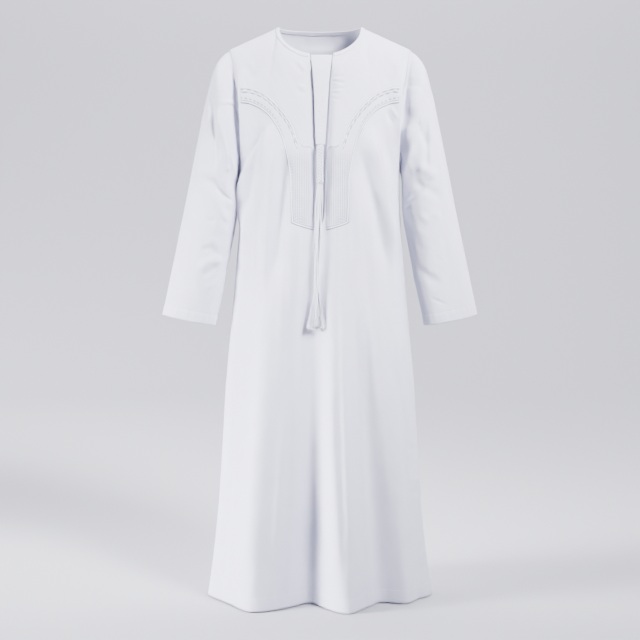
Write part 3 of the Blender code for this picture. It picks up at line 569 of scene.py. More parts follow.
# %% Woven cotton
def woven_cotton(name, dark, light, shade_colour=None):
    """Plain weave of 0.36 mm threads, with uneven threads and a trace of light through it. A
    Wave Texture's scale of 440 makes a wave every 0.71 mm, which is two threads.
    With a shade colour, the low places of a stitched ground take it as painted shade, mixed by the
    relief."""
    material, tree, output = new_material(name)
    link = tree.links.new
    uv = add_node(tree, "ShaderNodeUVMap", (-1300, 0), uv_map="cloth")
    warp = add_node(
        tree, "ShaderNodeTexWave", (-900, 200), bands_direction="X", wave_profile="SIN"
    )
    weft = add_node(
        tree, "ShaderNodeTexWave", (-900, -100), bands_direction="Y", wave_profile="SIN"
    )
    slub = add_node(tree, "ShaderNodeTexNoise", (-900, -400), Scale=900.0, Detail=2.0)
    soft = add_node(tree, "ShaderNodeTexNoise", (-900, -650), Scale=24.0, Detail=3.0)
    for wave in (warp, weft):
        wave.inputs["Scale"].default_value = 440.0
        wave.inputs["Distortion"].default_value = 0.6
        wave.inputs["Detail Scale"].default_value = 60.0
        link(uv.outputs["UV"], wave.inputs["Vector"])
    link(uv.outputs["UV"], slub.inputs["Vector"])
    link(uv.outputs["UV"], soft.inputs["Vector"])
    weave = add_node(tree, "ShaderNodeMath", (-650, 50), operation="MULTIPLY")
    link(warp.outputs["Fac"], weave.inputs[0])
    link(weft.outputs["Fac"], weave.inputs[1])
    height = add_node(tree, "ShaderNodeMath", (-450, -50), operation="ADD")
    link(weave.outputs["Value"], height.inputs[0])
    link(slub.outputs["Fac"], height.inputs[1])
    bump = add_node(tree, "ShaderNodeBump", (0, -300), Strength=0.22, Distance=0.0001)
    link(height.outputs["Value"], bump.inputs["Height"])
    tone = add_node(tree, "ShaderNodeMix", (0, 100), data_type="RGBA")
    tone.inputs["A"].default_value = to_linear(dark)
    tone.inputs["B"].default_value = to_linear(light)
    link(soft.outputs["Fac"], tone.inputs["Factor"])
    # painted shade: where the relief attribute is low, the cloth takes the darker shade colour
    if shade_colour:
        cloth_tone = tone.outputs["Result"]
        tone = painted_shade_mix(tree, shade_colour, (100, 400))
        link(cloth_tone, tone.inputs["B"])
    cloth = add_node(
        tree, "ShaderNodeBsdfPrincipled", (300, 200), Roughness=0.86, Sheen_Weight=0.15
    )
    cloth.inputs["Specular IOR Level"].default_value = 0.25
    through_it = add_node(tree, "ShaderNodeBsdfTranslucent", (300, -350))
    blend = add_node(tree, "ShaderNodeMixShader", (650, 0), Fac=0.03)
    for shader, socket in ((cloth, "Base Color"), (through_it, "Color")):
        link(tone.outputs["Result"], shader.inputs[socket])
        link(bump.outputs["Normal"], shader.inputs["Normal"])
    link(cloth.outputs["BSDF"], blend.inputs[1])
    link(through_it.outputs["BSDF"], blend.inputs[2])
    link(blend.outputs["Shader"], output.inputs["Surface"])
    return material

# %% Spun thread
def spun_thread(name, colour, roughness, twist, depth, shade_colour=None):
    """Floss or thread: noise at fibre pitch, stretched by `twist` in object coordinates."""
    material, tree, output = new_material(name)
    link = tree.links.new
    place = add_node(tree, "ShaderNodeTexCoord", (-900, 0))
    scale = add_node(tree, "ShaderNodeMapping", (-700, 0), Scale=twist)
    fibres = add_node(tree, "ShaderNodeTexNoise", (-450, 0), Scale=1.0, Detail=3.0)
    bump = add_node(tree, "ShaderNodeBump", (-150, -200), Strength=0.5, Distance=depth)
    link(place.outputs["Object"], scale.inputs["Vector"])
    link(scale.outputs["Vector"], fibres.inputs["Vector"])
    link(fibres.outputs["Fac"], bump.inputs["Height"])
    shader = add_node(
        tree, "ShaderNodeBsdfPrincipled", (150, 0), Roughness=roughness, Sheen_Weight=0.2
    )
    shader.inputs["Base Color"].default_value = to_linear(colour)
    shader.inputs["Specular IOR Level"].default_value = 0.4
    # painted shade: where the relief attribute is low, the thread takes the darker shade colour
    if shade_colour:
        tone = painted_shade_mix(tree, shade_colour, (-50, 300))
        tone.inputs["B"].default_value = to_linear(colour)
        link(tone.outputs["Result"], shader.inputs["Base Color"])
    link(bump.outputs["Normal"], shader.inputs["Normal"])
    link(shader.outputs["BSDF"], output.inputs["Surface"])
    return material

# %% The five materials
POPLIN = woven_cotton("cotton_poplin", "#d1d1e3", "#d9d9ea")
# the ground's darker groove colour is painted shade for its stitched grooves
GROUND = woven_cotton("cotton_sateen_ground_painted_shade", "#d0d0e1", "#d8d8e8", shade_colour="#5e5e78")
FLOSS = spun_thread("cotton_floss", "#ededfb", 0.55, (2600.0, 2600.0, 2600.0), 0.00008)
SEWING = spun_thread("sewing_thread", "#ececf8", 0.60, (4000.0, 4000.0, 4000.0), 0.00004)
# the darker groove colour is painted shade on the tassel's wraps and inner strands
SILKY = spun_thread(
    "mercerised_thread_painted_shade", "#ececfa", 0.42, (5200.0, 5200.0, 160.0), 0.00006, shade_colour="#5c5c76"
)
print("materials:", ", ".join(m.name for m in (POPLIN, GROUND, FLOSS, SEWING, SILKY)))

# %% [markdown]
# ## Front and back panels
#
# Both panels are read from the body's formula on a grid, and all relief is pushed out along
# the surface's own normals. The deep folds of the solid die away before the side seams, and the
# fine puckers only right at them. Beside the placket the front falls in a little, because the
# bands' stitching holds the cloth back there. A last, uneven swell of about a millimetre, a sum
# of sines whose lengths have no common measure, keeps wide areas from looking pressed.

# %% Swell and streaks
def swell(across, down, turn=0.0):
    """Uneven swell of the cloth: sines of unrelated lengths, from 30 to 170 mm."""
    total = 0 * across
    for number, (size, length) in enumerate(
        ((0.0007, 0.171), (0.0006, 0.113), (0.00045, 0.071), (0.0003, 0.047), (0.0002, 0.031))
    ):
        way = turn + 1.9 * number
        ahead = across * math.cos(way) + 0.55 * down * math.sin(way)
        aside = across * math.sin(way) - 0.8 * down * math.cos(way)
        wave = np.sin(2 * math.pi * ahead / length + 1.3 * number)
        total = total + size * wave * np.cos(2.3 * math.pi * aside / length + turn)
    return total


def streaks(x, down, turn):
    """Narrow upright folds that fan out with the skirt: sharpened waves, each fading in and out."""
    across = x / smooth(down, BODY["down"], BODY["half"])
    total = 0 * x
    for number, (size, waves) in enumerate(((0.0026, 2.9), (0.0019, 4.7), (0.0011, 7.9))):
        bend = 0.10 * np.sin(2.4 * down + 1.7 * number + turn)
        wave = np.sin(2 * math.pi * (waves * (across + bend / waves)) + 2.1 * number + turn)
        sharp = (np.exp(1.3 * wave) - 1.47) / 2.2
        fade = 0.5 + 0.5 * np.sin(5.1 * across + (3.0 + number) * down + 1.9 * number + turn)
        total = total + size * sharp * fade
    return total * ease((down - 0.24) / 0.30)


deepest = float(np.abs(swell(np.linspace(-0.3, 0.3, 400), 0.9)).max())
print("largest swell:", round(1000 * deepest, 2), "mm")

# %% Hem
HEM_STITCHING = 0.033  # above the hem


def hem_relief(above, along):
    """Double cloth below the hem stitching, drawn in at the stitches, with small puckers."""
    fold = 0.0006 * ease((0.034 - above) / 0.002)
    drawn = -0.0014 * np.exp(-(((above - HEM_STITCHING) / 0.0026) ** 2))
    pucker = np.sin(along / 0.0031) * np.sin(along / 0.0173 + 1.0)
    return fold + drawn + 0.0009 * pucker * np.exp(-(((above - 0.026) / 0.012) ** 2))

# %% Front opening
OPENING_END = 0.490  # front opening, from the neckline down to here
OPENING = table(
    "down left right",
    (0.00, -0.0275, 0.0345),
    (0.07, -0.0262, 0.0325),
    (0.12, -0.0212, 0.0272),
    (0.19, -0.0180, 0.0230),
    (0.29, -0.0140, 0.0168),
    (0.43, -0.0105, 0.0112),
    (0.47, -0.0082, 0.0088),
    (0.49, -0.0010, 0.0020),
)
PLACKET_DIP = 0.0075
PLACKET_DIP_WIDTH = 0.013


def placket_dip(x, down):
    """How far the cloth falls in beside the front opening."""
    left = np.interp(down, OPENING["down"], OPENING["left"])
    right = np.interp(down, OPENING["down"], OPENING["right"])
    beside = np.maximum(np.maximum(left - x, x - right), 0.0)
    along = ease((down - 0.08) / 0.05) * ease((0.50 - down) / 0.06)
    return PLACKET_DIP * along * np.exp(-((beside / PLACKET_DIP_WIDTH) ** 2))

# %% A panel with all its relief
def body_grid(u, v, facing):
    """Grid of points on the outside of a panel, with all its relief."""
    base = smooth_body(u, v, facing)
    outward = -facing * grid_normals(base)
    outward[..., 2] *= 1 - ease((v - 0.7) / 0.3)  # level from the underarm down
    outward = unit(outward)
    x, down = base[..., 0], -base[..., 2]
    if facing < 0:
        folds, creases, ridges, fine = FRONT_FOLDS, FRONT_CREASES, FRONT_RIDGES, FRONT_FINE
    else:
        folds, creases, ridges, fine = BACK_FOLDS, BACK_CREASES, BACK_RIDGES, BACK_FINE
    depth = fold_depth(folds, x, down) + crease_depth(creases, x, down)
    depth = depth * (1 - ease((np.abs(u) - 0.82) / 0.18))
    # the chest's ridges are stronger and wider than the skirt's
    chest = (1 - ease((down - 0.34) / 0.36)) * (facing < 0)
    slight = (1.6 + 1.9 * chest) * ridge_depth(ridges, x, down, 0.75 - 0.22 * chest)
    slight = slight + crease_depth(fine, x, down)
    slight = slight + swell(x, down, facing) + streaks(x, down, facing)
    if facing < 0:
        slight = slight - placket_dip(x, down)
    slight = slight + hem_relief(LENGTH - down, x)
    depth = depth + slight * (1 - ease((np.abs(u) - 0.93) / 0.07)) * ease(v / 0.04)
    return base + outward * depth[..., None]

# %% Rows and columns of the panels
ROWS_ABOVE = 124  # rows of a panel above the underarm, about 2.5 mm apart
ROWS_OPENING = 24
ROWS_BELOW = 150
FRONT_COLUMNS = 70  # columns of half the front panel
BACK_COLUMNS = 46


def row_values():
    """Row values v of a panel, with one row at the end of the front opening."""
    foot = 1 + (OPENING_END - UNDERARM) / (LENGTH - UNDERARM)
    above = np.linspace(0.0, 1.0, ROWS_ABOVE + 1)
    middle = np.linspace(1.0, foot, ROWS_OPENING + 1)[1:]
    below = np.linspace(foot, 2.0, ROWS_BELOW + 1)[1:]
    return np.concatenate([above, middle, below])


def opening_share(v, side):
    """The u of the left or right edge of the front opening, and 0 below its end."""
    probe = 0.05
    near = smooth_body(np.full_like(v, probe), v, -1.0)
    far = smooth_body(np.full_like(v, -probe), v, -1.0)
    per_u = (near[..., 0] - far[..., 0]) / (2 * probe)
    down = -near[..., 2]
    x = smooth(down, OPENING["down"], OPENING[side])
    return np.where(down < OPENING_END - 1e-4, x / per_u, 0.0)


def front_shares(v):
    """Columns of the front: armhole, neck point, left edge, right edge, neck point, armhole."""
    half = FRONT_COLUMNS // 2
    outer = np.linspace(-1.0, -NECK_SHARE, half + 1)[None, :-1] + 0 * v[:, None]
    step = np.linspace(0.0, 1.0, half + 1)[None, :]
    left = -NECK_SHARE + step * (opening_share(v, "left")[:, None] + NECK_SHARE)
    right = -NECK_SHARE + step * (-opening_share(v, "right")[:, None] + NECK_SHARE)
    return np.concatenate([outer, left, -right[:, ::-1], -outer[:, ::-1]], axis=1)


print("rows of a panel:", len(row_values()))

# %% Ways in at the seams
def armhole_inward(side, front, back, sleeve):
    """Inward ways round an armhole, square to its edge and halfway between panel and sleeve."""
    edge = -1 if side > 0 else 0
    ahead = grid_normals(front)[: ROWS_ABOVE + 1, edge]
    behind = -grid_normals(back)[: ROWS_ABOVE + 1, edge]
    panel = np.concatenate([ahead[:-1], behind[:0:-1]])
    panel[0] = unit(ahead[0] + behind[0])
    panel[ROWS_ABOVE] = unit(ahead[-1] + behind[-1])
    inward = -unit(panel - side * grid_normals(sleeve, wrap=True)[0])
    tangent = unit(np.roll(sleeve[0], -1, axis=0) - np.roll(sleeve[0], 1, axis=0))
    inward -= tangent * (inward * tangent).sum(axis=-1, keepdims=True)
    return unit(inward)


def shoulder_inward(side):
    """Down, square to the shoulder seam."""
    slope = SHOULDER_DROP / (SHOULDER_HALF - NECK_HALF)
    return np.array([-slope * side, 0.0, -1.0]) / math.hypot(slope, 1.0)

# %% Both panels
v = row_values()
front_u = front_shares(v)
back_u = np.linspace(-1.0, 1.0, 2 * BACK_COLUMNS + 1)[None, :] + 0 * v[:, None]
front = body_grid(front_u, v[:, None] + 0 * front_u, -1.0)
back = body_grid(back_u, v[:, None] + 0 * back_u, 1.0)
print("front grid:", front.shape[:2], "back grid:", back.shape[:2])

# %% [markdown]
# ## Sleeves
#
# A sleeve is a tube from the armhole's edge, which both panels give, through slanting oval
# sections to the cuff. A cubic curve runs down each of its lines. Where the cloth bunches
# at the underarm, long lens-shaped folds cross the front of the sleeve; they are creases and
# ridges by turn (0 outer side, 90 front) and depth below the neck.

# %% Sections of a sleeve
SLEEVE_ROWS = 165
SLEEVE = table(
    "x_outer down_outer x_inner down_inner front back",
    (0.2560, 0.0860, 0.2035, 0.3680, 0.066, 0.074),
    (0.2800, 0.1560, 0.2065, 0.3880, 0.062, 0.072),
    (0.3010, 0.2500, 0.2072, 0.4180, 0.062, 0.070),
    (0.3190, 0.3350, 0.2078, 0.4520, 0.062, 0.067),
    (0.3370, 0.4250, 0.2140, 0.5000, 0.060, 0.063),
    (0.3570, 0.5200, 0.2250, 0.5560, 0.056, 0.056),
    (0.3800, 0.6290, 0.2440, 0.6540, 0.047, 0.046),
    (0.4000, 0.7200, 0.2640, 0.7480, 0.038, 0.036),
)
SLEEVE_FORWARD = 0.018  # how far the cuff hangs ahead of the armhole
SLEEVE_RADIUS = 0.065  # turns its creases' angles into distances
CUFF_STITCHING = 0.026  # above the cuff's edge

# %% Creases of both sleeves
LEFT_CREASES = table(
    "turn_a down_a turn_b down_b out width",
    (62, 0.150, 128, 0.310, -0.012, 0.014),
    (72, 0.200, 96, 0.370, 0.008, 0.012),
    (60, 0.370, 130, 0.430, -0.008, 0.012),
    (100, 0.545, 150, 0.575, -0.007, 0.011),
    (85, 0.600, 150, 0.560, 0.006, 0.012),
    (240, 0.300, 300, 0.420, -0.008, 0.014),
    (210, 0.520, 290, 0.560, -0.006, 0.013),
)
RIGHT_CREASES = table(
    "turn_a down_a turn_b down_b out width",
    (110, 0.190, 62, 0.300, -0.010, 0.014),
    (100, 0.340, 62, 0.372, 0.009, 0.014),
    (120, 0.380, 60, 0.420, -0.008, 0.013),
    (110, 0.480, 70, 0.460, 0.006, 0.012),
    (95, 0.640, 145, 0.600, -0.006, 0.012),
    (230, 0.280, 300, 0.400, -0.008, 0.014),
    (220, 0.540, 290, 0.520, -0.006, 0.013),
)
print("sleeve sections:", len(SLEEVE["front"]), "creases:", len(LEFT_CREASES["out"]), "a sleeve")

# %% Ridges and fine creases of the left sleeve
LEFT_RIDGES = table(
    "turn_a down_a turn_m down_m turn_b down_b out width lean",
    (39, 0.088, 56, 0.124, 119, 0.182, -0.0035, 0.006, 0.00),
    (66, 0.191, 92, 0.265, 115, 0.349, 0.0060, 0.008, -0.35),
    (21, 0.156, 59, 0.230, 84, 0.360, -0.0060, 0.009, 0.30),
    (77, 0.190, 104, 0.202, 138, 0.222, -0.0060, 0.007, -0.30),
    (86, 0.372, 112, 0.412, 146, 0.436, -0.0048, 0.0088, -0.30),
    (83, 0.388, 108, 0.450, 140, 0.490, 0.0040, 0.0099, 0.30),
    (17, 0.205, 34, 0.300, 54, 0.404, 0.0030, 0.012, 0.00),
    (49, 0.354, 61, 0.410, 74, 0.466, -0.0024, 0.0110, 0.00),
    (107, 0.520, 116, 0.545, 130, 0.566, 0.0032, 0.0088, 0.30),
    (80, 0.600, 96, 0.650, 120, 0.690, 0.0018, 0.0110, 0.00),
    (30, 0.480, 44, 0.560, 50, 0.660, -0.0018, 0.0121, 0.00),
    (222, 0.240, 258, 0.320, 300, 0.360, 0.0045, 0.010, 0.30),
    (230, 0.420, 262, 0.480, 305, 0.500, 0.0028, 0.0099, -0.30),
    (226, 0.600, 262, 0.640, 292, 0.650, -0.0024, 0.0099, 0.00),
)
LEFT_FINE = table(
    "turn_a down_a turn_b down_b out width",
    (62, 0.098, 110, 0.152, -0.0030, 0.0090),
    (66, 0.112, 92, 0.132, 0.0020, 0.0040),
    (84, 0.136, 112, 0.166, 0.0020, 0.0040),
    (67, 0.187, 99, 0.181, 0.0040, 0.0050),
    (108, 0.344, 122, 0.354, 0.0029, 0.0075),
    (85, 0.478, 105, 0.481, -0.0022, 0.0063),
    (88, 0.548, 103, 0.553, -0.0027, 0.0069),
    (91, 0.578, 137, 0.584, 0.0027, 0.0081),
    (101, 0.619, 129, 0.594, -0.0032, 0.0081),
    (120, 0.450, 150, 0.462, -0.0022, 0.0088),
    (126, 0.500, 150, 0.520, 0.0022, 0.0088),
    (112, 0.650, 140, 0.632, 0.0020, 0.0075),
    (140, 0.240, 158, 0.300, -0.0040, 0.0080),
)

# %% Ridges and fine creases of the right sleeve
RIGHT_RIDGES = table(
    "turn_a down_a turn_m down_m turn_b down_b out width lean",
    (88, 0.086, 54, 0.148, 40, 0.190, -0.0030, 0.006, 0.00),
    (73, 0.186, 98, 0.190, 129, 0.202, 0.0040, 0.007, 0.30),
    (72, 0.196, 124, 0.264, 156, 0.356, -0.0070, 0.010, -0.35),
    (59, 0.226, 70, 0.290, 83, 0.352, -0.0045, 0.009, 0.30),
    (87, 0.378, 111, 0.423, 151, 0.455, 0.0029, 0.0115, -0.30),
    (80, 0.372, 104, 0.402, 148, 0.430, -0.0023, 0.0115, 0.00),
    (100, 0.240, 112, 0.290, 122, 0.330, 0.0040, 0.011, 0.00),
    (30, 0.250, 42, 0.360, 46, 0.470, 0.0028, 0.012, 0.00),
    (122, 0.675, 108, 0.684, 94, 0.692, -0.0030, 0.0069, 0.00),
    (64, 0.500, 74, 0.580, 78, 0.660, -0.0016, 0.0115, 0.00),
    (228, 0.220, 262, 0.290, 300, 0.330, 0.0045, 0.010, -0.30),
    (236, 0.400, 266, 0.450, 300, 0.486, 0.0026, 0.0103, 0.30),
    (230, 0.580, 262, 0.600, 296, 0.640, -0.0023, 0.0103, 0.00),
)
RIGHT_FINE = table(
    "turn_a down_a turn_b down_b out width",
    (80, 0.096, 47, 0.141, -0.0028, 0.0080),
    (74, 0.112, 56, 0.140, 0.0020, 0.0040),
    (89, 0.352, 124, 0.352, 0.0015, 0.0155),
    (85, 0.366, 125, 0.370, -0.0010, 0.0109),
    (107, 0.453, 85, 0.478, -0.0013, 0.0085),
    (123, 0.607, 98, 0.609, 0.0017, 0.0093),
    (117, 0.624, 113, 0.654, -0.0017, 0.0093),
    (130, 0.500, 104, 0.520, 0.0013, 0.0109),
    (136, 0.540, 112, 0.556, -0.0014, 0.0101),
    (100, 0.570, 84, 0.580, -0.0011, 0.0085),
    (150, 0.480, 130, 0.470, -0.0015, 0.0109),
    (96, 0.140, 120, 0.170, -0.0022, 0.0070),
)

# %% Sleeve surface
def sleeve_turns():
    """Turn of each column of a sleeve, in radians: 0 outer, then front, inner and back."""
    return np.arange(2 * ROWS_ABOVE) * math.pi / ROWS_ABOVE


def through(keys, share):
    """Points on cubic curves through rows of key points, at shares from 0 to 1."""
    span = np.linalg.norm(np.diff(keys, axis=0), axis=-1).mean(axis=1)
    known = np.concatenate([[0.0], np.cumsum(span)]) / span.sum()
    flat = keys.reshape(len(keys), -1)
    return np.stack([smooth(share, known, column) for column in flat.T], axis=-1).reshape(
        len(share), *keys.shape[1:]
    )


def cuff_relief(above, along):
    """Turned cuff: double cloth below its stitching."""
    fold = 0.0006 * ease((0.027 - above) / 0.002)
    drawn = -0.0013 * np.exp(-(((above - CUFF_STITCHING) / 0.0026) ** 2))
    pucker = np.sin(along / 0.0029) * np.sin(along / 0.0131)
    return fold + drawn + 0.0007 * pucker * np.exp(-(((above - 0.02) / 0.01) ** 2))


def sleeve_grid(side, front, back):
    """Outside of one sleeve, from the armhole edge of both panels to the cuff."""
    edge = -1 if side > 0 else 0
    loop = np.concatenate([front[:ROWS_ABOVE, edge], back[ROWS_ABOVE:0:-1, edge]])
    loop[0] = (front[0, edge] + back[0, edge]) / 2
    loop[ROWS_ABOVE] = (front[ROWS_ABOVE, edge] + back[ROWS_ABOVE, edge]) / 2
    turn = sleeve_turns()
    columns = {name: values[:, None] for name, values in SLEEVE.items()}
    wide, high = np.cos(turn), np.sin(turn)
    x = (columns["x_outer"] + columns["x_inner"]) / 2
    x = x + (columns["x_outer"] - columns["x_inner"]) / 2 * wide
    down = (columns["down_outer"] + columns["down_inner"]) / 2
    down = down + (columns["down_outer"] - columns["down_inner"]) / 2 * wide
    depth = np.where(high > 0, -columns["front"] * high, -columns["back"] * high)
    ahead = -SLEEVE_FORWARD * ease((down - 0.3) / 0.45)
    rings = np.stack([side * x, depth + ahead, -down], axis=-1)
    # rows lie closer together at the armhole
    share = np.linspace(0, 1, SLEEVE_ROWS + 1) ** 1.15
    base = through(np.concatenate([loop[None], rings]), share)
    creases, ridges, fine = (
        (RIGHT_CREASES, RIGHT_RIDGES, RIGHT_FINE)
        if side > 0
        else (LEFT_CREASES, LEFT_RIDGES, LEFT_FINE)
    )
    scale = math.radians(SLEEVE_RADIUS)
    degrees = np.degrees(turn)[None, :] + 0 * base[..., 0]
    down = -base[..., 2]
    steps = np.linalg.norm(np.diff(base, axis=0), axis=-1)
    run = np.concatenate([0 * steps[:1], np.cumsum(steps, axis=0)])
    along = degrees * scale
    # creases grow away from the armhole, and the seam there draws the cloth in
    depth = 0.7 * crease_depth(creases, degrees, down, scale) * ease(run / 0.09)
    slight = ridge_depth(ridges, degrees, down, scale) + crease_depth(fine, degrees, down, scale)
    slight = slight + swell(along, down, 2.0 + side) * np.abs(np.sin(turn / 2))
    slight = slight * ease(run / 0.014) - 0.0018 * np.exp(-(((run - 0.0060) / 0.0042) ** 2))
    # beside the chest the sleeve sinks in behind the seam and swells out after it
    inner = ease((degrees - 50) / 34) * ease((170 - degrees) / 26)
    slight = slight - 0.0110 * inner * ease(run / 0.007) * np.exp(-(((run - 0.006) / 0.020) ** 2))
    slight = slight + 0.0070 * inner * np.exp(-(((run - 0.060) / 0.026) ** 2))
    depth = depth + slight + cuff_relief(run[-1] - run, along)
    return base - side * grid_normals(base, wrap=True) * depth[..., None]

# %% Sunk armhole seams, and both sleeves
SEAM_SUNK = {-1: 0.0150, 1: 0.0050}


def sink_seam(grid, ways, facing):
    """Draws a panel's armhole edges in, most at the middle of the armhole, as the seam pulls."""
    for step, side in ((1, -1), (-1, 1)):
        loop = ways[side] if facing < 0 else np.roll(ways[side][::-1], 1, axis=0)
        part = grid[: ROWS_ABOVE + 1, ::step]
        run = np.cumsum(np.linalg.norm(np.diff(part, axis=1), axis=-1), axis=1)
        run = np.concatenate([0 * run[:, :1], run], axis=1)
        row = np.linspace(0.0, 1.0, ROWS_ABOVE + 1)
        depth = SEAM_SUNK[facing] * ease(row / 0.35) * ease((1 - row) / 0.12)
        fall = np.exp(-((run / 0.0080) ** 2)) * depth[:, None]
        grid[: ROWS_ABOVE + 1, ::step] = part + loop[: ROWS_ABOVE + 1, None] * fall[..., None]


sleeves = {side: sleeve_grid(side, front, back) for side in (-1, 1)}
armholes = {side: armhole_inward(side, front, back, sleeves[side]) for side in (-1, 1)}
sink_seam(front, armholes, -1)
sink_seam(back, armholes, 1)
sleeves = {side: sleeve_grid(side, front, back) for side in (-1, 1)}
print("sleeve grid:", sleeves[1].shape[:2])

# %% [markdown]
# ## Closing the cloth pieces
#
# Each surface becomes a closed shell. Along a seam both neighbours move inwards the same way,
# so their edges stay a hair apart and no slit of light shows between them.

# %% Walls towards the inside
def panel_inward(grid, facing):
    """Offsets to the inside of a panel, shared with its neighbours along each seam."""
    inward = facing * grid_normals(grid)
    for place, x in enumerate(grid[0, :, 0]):
        if abs(x) >= NECK_HALF - 1e-6:
            inward[0, place] = shoulder_inward(np.sign(x))
    for column, side in ((0, -1), (-1, 1)):
        loop = armholes[side]
        inward[ROWS_ABOVE + 1 :, column] = (-side, 0.0, 0.0)
        ahead = loop if facing < 0 else np.roll(loop[::-1], 1, axis=0)
        inward[: ROWS_ABOVE + 1, column] = ahead[: ROWS_ABOVE + 1]
    return inward * CLOTH


def shell(name, grid, faces, inward, uv, material=POPLIN):
    """A piece of cloth: the grid, its copy moved by inward, and the rim between them."""
    points, faces = thicken(grid.reshape(-1, 3), faces, inward.reshape(-1, 3))
    flat = uv.reshape(-1, 2)
    return add_piece(name, points, faces, material, np.concatenate([flat, flat]))

# %% Panels and sleeves
def make_front():
    """Front panel: two halves, joined below the front opening."""
    rows, columns = front.shape[:2]
    middle = columns // 2
    index = np.arange(rows * columns).reshape(rows, columns)
    foot = ROWS_ABOVE + ROWS_OPENING
    index[foot:, middle] = index[foot:, middle - 1]
    faces = np.concatenate([grid_faces(index[:, :middle]), grid_faces(index[:, middle:])])
    return shell("front_panel_cloth", front, faces, panel_inward(front, -1), metre_uv(front))


def make_back():
    """Back panel, cut in one."""
    index = np.arange(back[..., 0].size).reshape(back.shape[:2])
    faces = grid_faces(index, flip=True)
    return shell("back_panel_cloth", back, faces, panel_inward(back, 1), metre_uv(back))


def make_sleeve(name, side):
    """Sleeve: a tube, whose first ring stands a seam's gap away from the armhole."""
    grid = sleeves[side].copy()
    inward = side * grid_normals(grid, wrap=True)
    inward[0] = armholes[side]
    tangent = np.roll(grid[0], -1, axis=0) - np.roll(grid[0], 1, axis=0)
    away = unit(np.cross(armholes[side], tangent))
    away *= np.sign((away * (grid[3] - grid[0])).sum(axis=-1, keepdims=True))
    grid[0] += away * SEAM
    index = np.arange(grid[..., 0].size).reshape(grid.shape[:2])
    faces = grid_faces(index, wrap=True, flip=side > 0)
    return shell(name, grid, faces, inward * CLOTH, metre_uv(grid))

# %% The four large pieces
front_piece, back_piece = make_front(), make_back()
sleeve_pieces = {
    -1: make_sleeve("sleeve_left_cloth", -1),
    1: make_sleeve("sleeve_right_cloth", 1),
}
bpy.context.view_layer.update()
for piece in (front_piece, back_piece, *sleeve_pieces.values()):
    print(piece.name, len(piece.data.polygons) * 2, "triangles")

# %% [markdown]
# ## Reading places on the cloth
#
# Trims have to lie on the folded cloth, not on the plain formula. Rays find the panel below a
# place, and lines at a fixed distance from an edge are read from the grids themselves.

# %% Reading a grid
front_out, back_out = grid_normals(front), -grid_normals(back)
sleeve_out = {side: -side * grid_normals(sleeves[side], wrap=True) for side in (-1, 1)}


def read_grid(grid, row, column):
    """Bilinear reading of a grid at fractional rows and columns."""
    row = np.clip(row, 0, grid.shape[0] - 1.0001)
    column = np.clip(column, 0, grid.shape[1] - 1.0001)
    i, j = row.astype(int), column.astype(int)
    s, t = (row - i)[..., None], (column - j)[..., None]
    near = grid[i, j] * (1 - t) + grid[i, j + 1] * t
    return near * (1 - s) + (grid[i + 1, j] * (1 - t) + grid[i + 1, j + 1] * t) * s


def line_length(path):
    """Distance run along a path at each of its points."""
    return np.concatenate([[0.0], np.cumsum(np.linalg.norm(np.diff(path, axis=0), axis=1))])


def at_distance(distance, run, data):
    """Rows of data read at distances along a path, in straight lines between its points."""
    return np.stack([np.interp(distance, run, column) for column in data.T], axis=-1)


def inset_line(grid, ways, distance):
    """The line at a distance in from the first column of a grid, and its outward ways."""
    both = np.concatenate([grid, ways], axis=-1)
    read = [at_distance([distance], line_length(row[:, :3]), row)[0] for row in both]
    read = np.array(read)
    return read[:, :3], unit(read[:, 3:])


left_side = float(line_length(front[:, 0])[-1])
print("left side of the front:", round(left_side, 3), "m")

# %% The front without its folds
def plain_front():
    """The front's middle without folds, as a tree that rays can hit."""
    u, v = np.meshgrid(np.linspace(-0.7, 0.7, 161), np.linspace(0.0, 1.25, 281))
    grid = smooth_body(u, v, -1.0)
    faces = grid_faces(np.arange(u.size).reshape(u.shape))
    return BVHTree.FromPolygons(grid.reshape(-1, 3).tolist(), faces.tolist())


PLAIN_FRONT = plain_front()


def front_depth(x, down):
    """The y of the front surface, without folds, at places near its centre."""
    y = np.empty(x.shape)
    for place in np.ndindex(x.shape):
        start = Vector((x[place], -0.3, -down[place]))
        hit, _, _, _ = PLAIN_FRONT.ray_cast(start, Vector((0.0, 1.0, 0.0)))
        y[place] = (hit or PLAIN_FRONT.find_nearest(start + Vector((0.0, 0.22, 0.0)))[0]).y
    return y


def strip_grid(down, left, right, columns):
    """Level places between two edges, and the front surface's depth at them."""
    share = np.linspace(0.0, 1.0, columns + 1)[None, :]
    x = left[:, None] + (right - left)[:, None] * share
    down = down[:, None] + 0 * x
    return x, down, front_depth(x, down), share


def neck_dip(x):
    """How far the front neckline lies below the neck points at a place across."""
    return NECK_DROP * np.sqrt(1 - (x / NECK_HALF) ** 2)

# %% [markdown]
# ## Thread
#
# A stitch is a small spindle that lies on the cloth, so it catches light and throws a shadow as
# real sewing does. Running stitches follow a path, satin bars are a few stitches side by side,
# and a cord is a tube whose lobes turn as it goes.

# %% Stitches
STITCH = 0.0026
STITCH_GAP = 0.0009
SPINDLE = np.array(
    [(0, 1 + (i + 1) % 4, 1 + i) for i in range(4)]
    + [(1 + i, 1 + (i + 1) % 4, 5 + (i + 1) % 4) for i in range(4)]
    + [(1 + i, 5 + (i + 1) % 4, 5 + i) for i in range(4)]
    + [(9, 5 + i, 5 + (i + 1) % 4) for i in range(4)]
)


def spindles(a, b, up, half):
    """Stitches from each a to each b: 10 points and 16 triangles each, half as thick as wide."""
    along = b - a
    across = unit(np.cross(up, along)) * half
    up = up * half * 0.8
    ring = np.stack([across, up, -across, -up], axis=1)
    points = np.concatenate(
        [
            a[:, None],
            (a + 0.22 * along)[:, None] + ring,
            (a + 0.78 * along)[:, None] + ring,
            b[:, None],
        ],
        axis=1,
    )
    faces = SPINDLE[None] + 10 * np.arange(len(a))[:, None, None]
    return points.reshape(-1, 3), faces.reshape(-1, 3)


